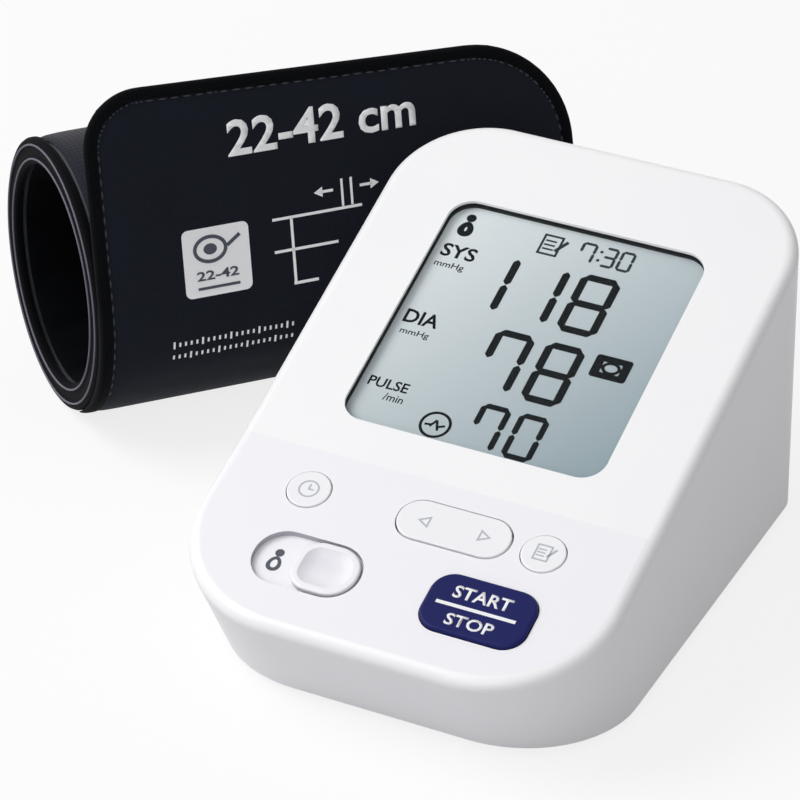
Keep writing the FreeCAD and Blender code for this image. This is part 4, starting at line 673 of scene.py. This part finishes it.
def puffUp(bm, held, pressure, most):
    bm.verts.index_update()
    mesh = bpy.data.meshes.new("puffing")
    bm.to_mesh(mesh)
    mesh.transform(Matrix.Scale(1 / puff["shrink"], 4))
    cloth = bpy.data.objects.new("puffing", mesh)
    bpy.context.scene.collection.objects.link(cloth)
    cloth.vertex_groups.new(name="held").add([v.index for v in held], 1.0, "REPLACE")
    settings = cloth.modifiers.new("cloth", "CLOTH").settings
    settings.vertex_group_mass = "held"
    settings.use_pressure = True
    settings.uniform_pressure_force = pressure
    settings.effector_weights.gravity = 0
    settings.mass = puff["mass"]
    settings.tension_stiffness = settings.compression_stiffness = puff["stretch"]
    settings.bending_stiffness = puff["bending"]
    for step in range(1, puff["frames"] + 1):
        bpy.context.scene.frame_set(step)
    blown = cloth.evaluated_get(bpy.context.evaluated_depsgraph_get()).data
    for vert, moved in zip(bm.verts, blown.vertices):
        shift = moved.co * puff["shrink"] - vert.co
        vert.co += shift * min(1.0, most / max(shift.length, 1e-9))
    bpy.context.scene.frame_set(1)
    bpy.data.objects.remove(cloth)


# reads a value off a run of (position, value) pairs
def share(value, pairs):
    for (x0, y0), (x1, y1) in zip(pairs, pairs[1:]):
        if value <= x1:
            return y0 + (y1 - y0) * max(0.0, value - x0) / (x1 - x0)
    return pairs[-1][1]


pad = bmesh.new()
corners = [pad.verts.new(c) for c in ((0, flap["low"], 0), (cuff["length"], flap["low"], 0),
                                      (cuff["length"], flap["topRight"], 0), (0, flap["topLeft"], 0))]
pad.faces.new(corners)
for corner, radius in ((corners[2], flap["cornerRight"]), (corners[3], flap["cornerLeft"])):
    roundOff(pad, [corner], radius, 14)
field = pad.faces[:][0]
outline = [v.co.xy.copy() for v in field.verts]
# the lower end is sewn into the roll, so only the two sides and the top count as edges
edges = [(a, b) for a, b in zip(outline, outline[1:] + outline[:1]) if max(a.y, b.y) > flap["low"] + 1]


def fromEdge(point):
    nearest = []
    for a, b in edges:
        along = max(0.0, min(1.0, (point - a).dot(b - a) / (b - a).length_squared))
        nearest.append((point - a.lerp(b, along)).length)
    return min(nearest)


reached = 0.0
for inset, _ in flap["halves"][1:]:
    insetFace(pad, field, inset - reached)
    reached = inset
for normal, start, stop in (((1, 0, 0), 0.0, cuff["length"]), ((0, 1, 0), flap["low"], flap["topLeft"])):
    cutAcross(pad, normal, [start + cut * flap["grid"] for cut in range(1, int((stop - start) / flap["grid"]))])
weave = pad.loops.layers.uv.new("weave")
for face in pad.faces:
    face.material_index = 1 if fromEdge(face.calc_center_median().xy) < flap["tape"] else 0
    for loop in face.loops:
        loop[weave].uv = loop.vert.co.xy * mm
back = pad.verts[:]
raised = bmesh.ops.extrude_face_region(pad, geom=pad.faces[:], use_keep_orig=True)["geom"]
front = pointsOf(raised)
stitchRuns = []
for vert in front:
    for edge in vert.link_edges:
        other = edge.other_vert(vert)
        onSeam = all(abs(fromEdge(v.co.xy) - flap["seam"]) < flap["seamWithin"] for v in (vert, other))
        if onSeam and (vert.co.y, vert.co.x) < (other.co.y, other.co.x):
            stitchRuns.append((vert.co.xy.copy(), other.co.xy.copy()))


# the sewn end thins down and tucks into the roll
def thinned(up):
    return max(0.0, 1 - (up - flap["low"]) / flap["thinned"]) ** 2


sewn = []
for vert in front:
    half = share(fromEdge(vert.co.xy), flap["halves"])
    thin = thinned(vert.co.y)
    vert.co.z = half - thin * (half + flap["tuck"])
    if fromEdge(vert.co.xy) < flap["sewn"] or vert.co.y < flap["low"] + flap["sewnTail"]:
        sewn.append(vert)
(hooksLeft, hooksRight), (hooksLow, hooksTop) = flap["hooks"]
for vert in back:    # it lies flat on the roll and under the hook patch
    half = share(fromEdge(vert.co.xy), flap["halves"])
    vert.co.z = -max(half, flap["flatBack"] if vert.co.y < 0 else half) - thinned(vert.co.y) * flap["backTuck"]
    underHooks = hooksLeft < vert.co.x < hooksRight and hooksLow < vert.co.y < hooksTop
    if fromEdge(vert.co.xy) < flap["sewn"] or vert.co.y < flap["sewnBack"] or underHooks:
        sewn.append(vert)
bmesh.ops.recalc_face_normals(pad, faces=pad.faces)
puffUp(pad, sewn, flap["pressure"], flap["mostPuff"])
for vert in pad.verts:
    vert.co = ontoFlap(*vert.co)
flapPad = makePiece(pad, "flapPad", [outerCloth, edgeTape])
roundPiece(flapPad)
flapFace = BVHTree.FromObject(flapPad, bpy.context.evaluated_depsgraph_get())
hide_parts("cuff_flap_root", "cuff_flap")
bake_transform(flapPad)
print("flap padded:", len(flapPad.data.vertices), "points,", len(stitchRuns), "stitches")


# a point of the flat cut dropped onto the padded face
def onPad(across, up, lift):
    above, below = ontoFlap(across, up, 8), ontoFlap(across, up, 0)
    hit = flapFace.ray_cast(above, (below - above).normalized())[0]
    return (hit or below) + (above - below).normalized() * lift * mm


flapPrint = {"left": 0, "right": 130, "low": -28, "top": 54, "grid": 2, "thick": 0.1}


# prints on the flap are cut into a grid so that they follow its curve, then dropped onto it
def layOnFlap(bm, name, material, lift):
    cutAcross(bm, (1, 0, 0), range(flapPrint["left"], flapPrint["right"], flapPrint["grid"]))
    cutAcross(bm, (0, 1, 0), range(flapPrint["low"], flapPrint["top"], flapPrint["grid"]))
    thicken(bm, flapPrint["thick"])
    for vert in bm.verts:
        vert.co = onPad(vert.co.x, vert.co.y, lift + vert.co.z)
    piece = makePiece(bm, name, [material], smooth=False)
    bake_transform(piece)


wrapMarks = bmesh.new()
addWord(wrapMarks, "22-42 cm", 36, 33.2, 50, 9.2)    # plain arm range
for x, width in ((60.8, 3.6), (71.5, 3.4)):
    addPlate(wrapMarks, x, 20.5, width, 0.7)
addDisc(wrapMarks, 59.0, 20.5, 1.5, sides=3, turn=90)
addDisc(wrapMarks, 73.4, 20.5, 1.5, sides=3, turn=-90)
for x in (65.0, 67.5):
    addPlate(wrapMarks, x, 19.5, 0.6, 7.0)
addPlate(wrapMarks, 58.0, 15.5, 24.0, 0.7)
addPlate(wrapMarks, 54.5, 7.2, 17.0, 0.7)
addPlate(wrapMarks, 53.8, -1.4, 6.5, 0.7)
addPlate(wrapMarks, 51.0, 7.0, 0.7, 16.9)
for row, y in ((0, -11.8), (1, -15.2)):    # two rows of plain ticks
    for tick in range(22):
        addPlate(wrapMarks, 18.5 + tick * 1.5, y, 0.5, 1.9 if (tick + row * 2) % 5 == 0 else 1.1)
layOnFlap(wrapMarks, "wrapMarks", whiteInk, 0.02)

sizePatch = bmesh.new()
addPlate(sizePatch, 30.8, 8.0, 17.5, 17.4, corner=1.6, steps=4)
layOnFlap(sizePatch, "sizePatch", whiteInk, 0.02)
patchSigns = bmesh.new()
addDisc(patchSigns, 29.2, 11.2, 3.6, width=0.9, stretch=1.25)    # an arm in its cuff, seen from the end
addDisc(patchSigns, 29.2, 11.2, 1.4, stretch=1.25)
addPlate(patchSigns, 35.4, 12.6, 4.2, 0.9, turn=35)
addWord(patchSigns, "22-42", 25.2, 3.4, 11.0, 2.4)
addPlate(patchSigns, 30.8, 1.4, 11.0, 0.7)
layOnFlap(patchSigns, "patchSigns", darkInk, 0.14)

stitch = {"shortest": 0.6, "fromTail": 20, "length": 0.36, "width": 0.26, "height": 0.2, "proud": 0.06}
stitches = bmesh.new()
for first, last in stitchRuns:
    middle, along = (first + last) / 2, last - first
    if along.length < stitch["shortest"] or middle.y < flap["low"] + stitch["fromTail"]:
        continue
    turn = Matrix.Rotation(math.atan2(along.y, along.x), 4, "Z")
    place = Matrix.Translation((middle.x, middle.y, 0)) @ turn @ Matrix.Diagonal(
        (along.length * stitch["length"], stitch["width"], stitch["height"], 1))
    bmesh.ops.create_uvsphere(stitches, u_segments=6, v_segments=4, radius=1.0, matrix=place)
for vert in stitches.verts:
    vert.co = onPad(vert.co.x, vert.co.y, stitch["proud"] + vert.co.z)
flapStitches = makePiece(stitches, "flapStitches", [seamThread])
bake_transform(flapStitches)
print("flap printed and stitched")


# a profile of (along, radius) points turned round the roll's axis; closed, so that it comes out as a tube wall
def spinProfile(points, turned=360.0, start=0.0):
    bm = bmesh.new()
    ring = [bm.verts.new((x, 0, r)) for x, r in points]
    loop = [bm.edges.new((a, b)) for a, b in zip(ring, ring[1:] + ring[:1])]
    bmesh.ops.rotate(bm, verts=bm.verts, matrix=Matrix.Rotation(math.radians(start), 3, "X"))
    whole = turned >= 360
    steps = int(cuff["steps"] * turned / 360)
    made = bmesh.ops.spin(bm, geom=ring + loop, axis=(1, 0, 0), cent=(0, 0, 0), angle=math.radians(turned), steps=steps,
                          use_merge=whole)
    if not whole:
        bmesh.ops.contextual_create(bm, geom=[e for e in made["geom_last"] if isinstance(e, bmesh.types.BMEdge)])
        bmesh.ops.contextual_create(bm, geom=loop)
    weld(bm)
    weave = bm.loops.layers.uv.new("weave")
    for face in bm.faces:    # the weave runs along the roll and round it, with no jump where a face closes the turn
        middle = face.calc_center_median()
        facing = math.atan2(middle.z, middle.y)
        for loop in face.loops:
            turn = math.atan2(loop.vert.co.z, loop.vert.co.y) - facing
            turn = (turn + math.pi) % (2 * math.pi) - math.pi
            loop[weave].uv = (loop.vert.co.x * mm, (facing + turn) * cuff["weaveRadius"] * mm)
    return bm


rollMatrix = cuffMatrix @ Matrix.Translation((0, 0, cuff["centre"]))


# sets a turned piece in the roll, rounds it and lets it ride the cuff
def placeRoll(bm, name, materials):
    bmesh.ops.transform(bm, matrix=rollMatrix, verts=bm.verts)
    piece = makePiece(bm, name, materials)
    roundPiece(piece)
    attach(piece, "cuff")
    return piece


roll = {"inner": 33.45, "outer": 35.1, "from": 3.05, "to": 126.55, "rows": 26, "endDrop": 0.3, "heldEnd": 4,
        "pressure": 1.5, "mostPuff": 0.3, "rippleMm": (30, 9), "ripple": 0.004}
across = [roll["from"] + (roll["to"] - roll["from"]) * i / roll["rows"] for i in range(roll["rows"] + 1)]
wall = spinProfile([(x, roll["outer"] - (roll["endDrop"] if i in (0, roll["rows"]) else 0.0))
                    for i, x in enumerate(across)] + [(x, roll["inner"]) for x in reversed(across)])


def fromRollEnd(vert):
    return min(vert.co.x - roll["from"], roll["to"] - vert.co.x)


# draws cloth in towards the axis where the noise is high; sizes are along the roll and round it
def rumple(verts, sizesMm, depth, shift=0):
    long, short = sizesMm
    for vert in verts:
        wave = noise.noise(Vector((vert.co.x / long + shift, vert.co.y / short, vert.co.z / short)))
        vert.co.yz = vert.co.yz * (1 - depth * max(0.0, wave))


outside = {v for v in wall.verts if v.co.yz.length > (roll["inner"] + roll["outer"]) / 2}
stiff = [v for v in wall.verts if v not in outside or fromRollEnd(v) < roll["heldEnd"]]
puffUp(wall, stiff, roll["pressure"], roll["mostPuff"])
rumple(outside, roll["rippleMm"], roll["ripple"])    # faint ripples of cloth that is held in a roll
rollCloth = placeRoll(wall, "rollCloth", [fleeceCloth])
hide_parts("cuff_cloth")

lining = {"inner": 28.35, "outer": 29.15, "heldEnd": 3, "pressure": 4.0, "mostPuff": 1.3, "slackMm": (26, 11),
          "slack": 0.016, "slackShift": 7}
tube = spinProfile([(x, lining["inner"]) for x in across] + [(x, lining["outer"]) for x in reversed(across)])
inside = {v for v in tube.verts if v.co.yz.length < (lining["inner"] + lining["outer"]) / 2}
# slack cloth starts uneven, and the pressure draws it into soft folds
rumple(inside, lining["slackMm"], lining["slack"], lining["slackShift"])
held = [v for v in tube.verts if v not in inside or fromRollEnd(v) < lining["heldEnd"]]
puffUp(tube, held, lining["pressure"], lining["mostPuff"])
liningCloth = placeRoll(tube, "liningCloth", [innerCloth])
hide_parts("cuff_lining")

bag = {"inner": 29.35, "outer": 32.25, "from": 6.0, "to": 123.6, "rows": 10, "outerDrop": 1.2, "innerRise": 0.2,
       "turned": 328.0, "start": 142.0}
bagAcross = [bag["from"] + (bag["to"] - bag["from"]) * i / bag["rows"] for i in range(bag["rows"] + 1)]
bagEnds = (bagAcross[0], bagAcross[-1])
airBag = spinProfile([(x, bag["outer"] - (bag["outerDrop"] if x in bagEnds else 0.0)) for x in bagAcross]
                     + [(x, bag["inner"] + (bag["innerRise"] if x in bagEnds else 0.0)) for x in reversed(bagAcross)],
                     turned=bag["turned"], start=bag["start"])
bladder = placeRoll(airBag, "airBladder", [bladderFilm])
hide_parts("cuff_bladder")

# folded tape round both ends of the roll: two rolled rims with a sewn valley between them
binding = [(3.0, 28.3), (1.0, 28.25), (0.3, 28.5), (0.05, 29.2), (0.25, 30.3), (0.35, 31.5), (0.2, 32.7), (0.05, 33.4),
           (0.15, 34.5), (0.7, 35.15), (3.0, 35.3)]
for end, mirrored in (("near", False), ("far", True)):
    shape = [(cuff["length"] - x, r) for x, r in binding] if mirrored else binding
    ringPiece = placeRoll(spinProfile(shape), "edgeBinding_" + end, [edgeTape])
    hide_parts("cuff_binding_" + end)

# a pale piping thread on each rim of the binding
piping = {"radii": (29.6, 33.2), "thick": 0.28, "sides": 8}
threads = bmesh.new()
for end in (0.0, cuff["length"]):
    for radius in piping["radii"]:
        place = Matrix.Translation((end, 0, radius)) @ Matrix.Rotation(math.pi / 2, 4, "X")
        ring = bmesh.ops.create_circle(threads, segments=piping["sides"], radius=piping["thick"], matrix=place)["verts"]
        loop = list({edge for vert in ring for edge in vert.link_edges})
        bmesh.ops.spin(threads, geom=ring + loop, axis=(1, 0, 0), cent=(0, 0, 0), angle=2 * math.pi,
                       steps=cuff["steps"], use_merge=True)
weld(threads)
bmesh.ops.transform(threads, matrix=rollMatrix, verts=threads.verts)
bindingPiping = makePiece(threads, "bindingPiping", [paleThread])
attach(bindingPiping, "cuff")
print("roll, lining, bladder and bindings made")

view = {"lens": 176.94, "sensor": 36.0, "place": (304.955, -721.898, 518.207), "turn": (59.23565, -1.43431, 25.38584)}
camera = bpy.data.objects.new("camera", bpy.data.cameras.new("camera"))
camera.data.lens = view["lens"]
camera.data.sensor_width = view["sensor"]
camera.location = Vector(view["place"]) * mm
camera.rotation_euler = [math.radians(t) for t in view["turn"]]
bpy.context.scene.collection.objects.link(camera)
bpy.context.scene.camera = camera

# one large soft box high on the left, a weaker one in front, and an even white room
lamps = {"key": {"place": (-1.25, -0.55, 1.5), "size": 1.3, "power": 27.0},
         "front": {"place": (0.3, -1.7, 1.0), "size": 1.2, "power": 8.0}}
studio = {"lampsAim": (-0.05, 0.0, 0.05), "roomLight": 0.34, "floorSize": 4.0, "floorDropMm": 0.2, "floorGlow": 0.8}
for name, lamp in lamps.items():
    light = bpy.data.lights.new(name, "AREA")
    light.size = lamp["size"]
    light.energy = lamp["power"]
    box = bpy.data.objects.new(name, light)
    box.location = lamp["place"]
    box.rotation_euler = (Vector(studio["lampsAim"]) - Vector(lamp["place"])).to_track_quat("-Z", "Y").to_euler()
    bpy.context.scene.collection.objects.link(box)


# white for the camera and in gloss and clear plastic, a plain light level for everything else
def whiteWhereSeen(tree):
    path = addNode(tree, "ShaderNodeLightPath", {}).outputs
    either = reckon(tree, "MAXIMUM", path["Is Camera Ray"], path["Is Glossy Ray"])
    return reckon(tree, "MAXIMUM", either, path["Is Transmission Ray"])


room = bpy.data.worlds.new("whiteRoom")
room.use_nodes = True
bpy.context.scene.world = room
roomTree = room.node_tree
sky = roomTree.nodes["Background"].inputs
sky["Color"].default_value = (1, 1, 1, 1)
roomTree.links.new(spread(roomTree, whiteWhereSeen(roomTree), studio["roomLight"], 1.0), sky["Strength"])

ground = bmesh.new()
bmesh.ops.create_grid(ground, x_segments=8, y_segments=8, size=studio["floorSize"],
                      matrix=Matrix.Translation((0, 0, -studio["floorDropMm"] * mm)))
floor = makePiece(ground, "paleFloor", [], smooth=False)
floorPaint = bpy.data.materials.new("whiteStudioFloor")
floorPaint.use_nodes = True
floorTree = floorPaint.node_tree
floorTree.nodes.remove(floorTree.nodes["Principled BSDF"])
whiteSeen = whiteWhereSeen(floorTree)
paint = addNode(floorTree, "ShaderNodeBsdfDiffuse", {"Color": mixTones(floorTree, whiteSeen, "#c4c4c8", "#fafafa")})
glow = addNode(floorTree, "ShaderNodeEmission", {"Color": (1, 1, 1, 1), "Strength": 1.0})
seen = addNode(floorTree, "ShaderNodeMixShader", {0: spread(floorTree, whiteSeen, 0.0, studio["floorGlow"]),
                                                  1: paint.outputs["BSDF"], 2: glow.outputs["Emission"]})
floorTree.links.new(seen.outputs["Shader"], floorTree.nodes["Material Output"].inputs["Surface"])
floor.data.materials.append(floorPaint)
bpy.context.scene.view_settings.view_transform = "Standard"
print("camera, lamps and floor set")
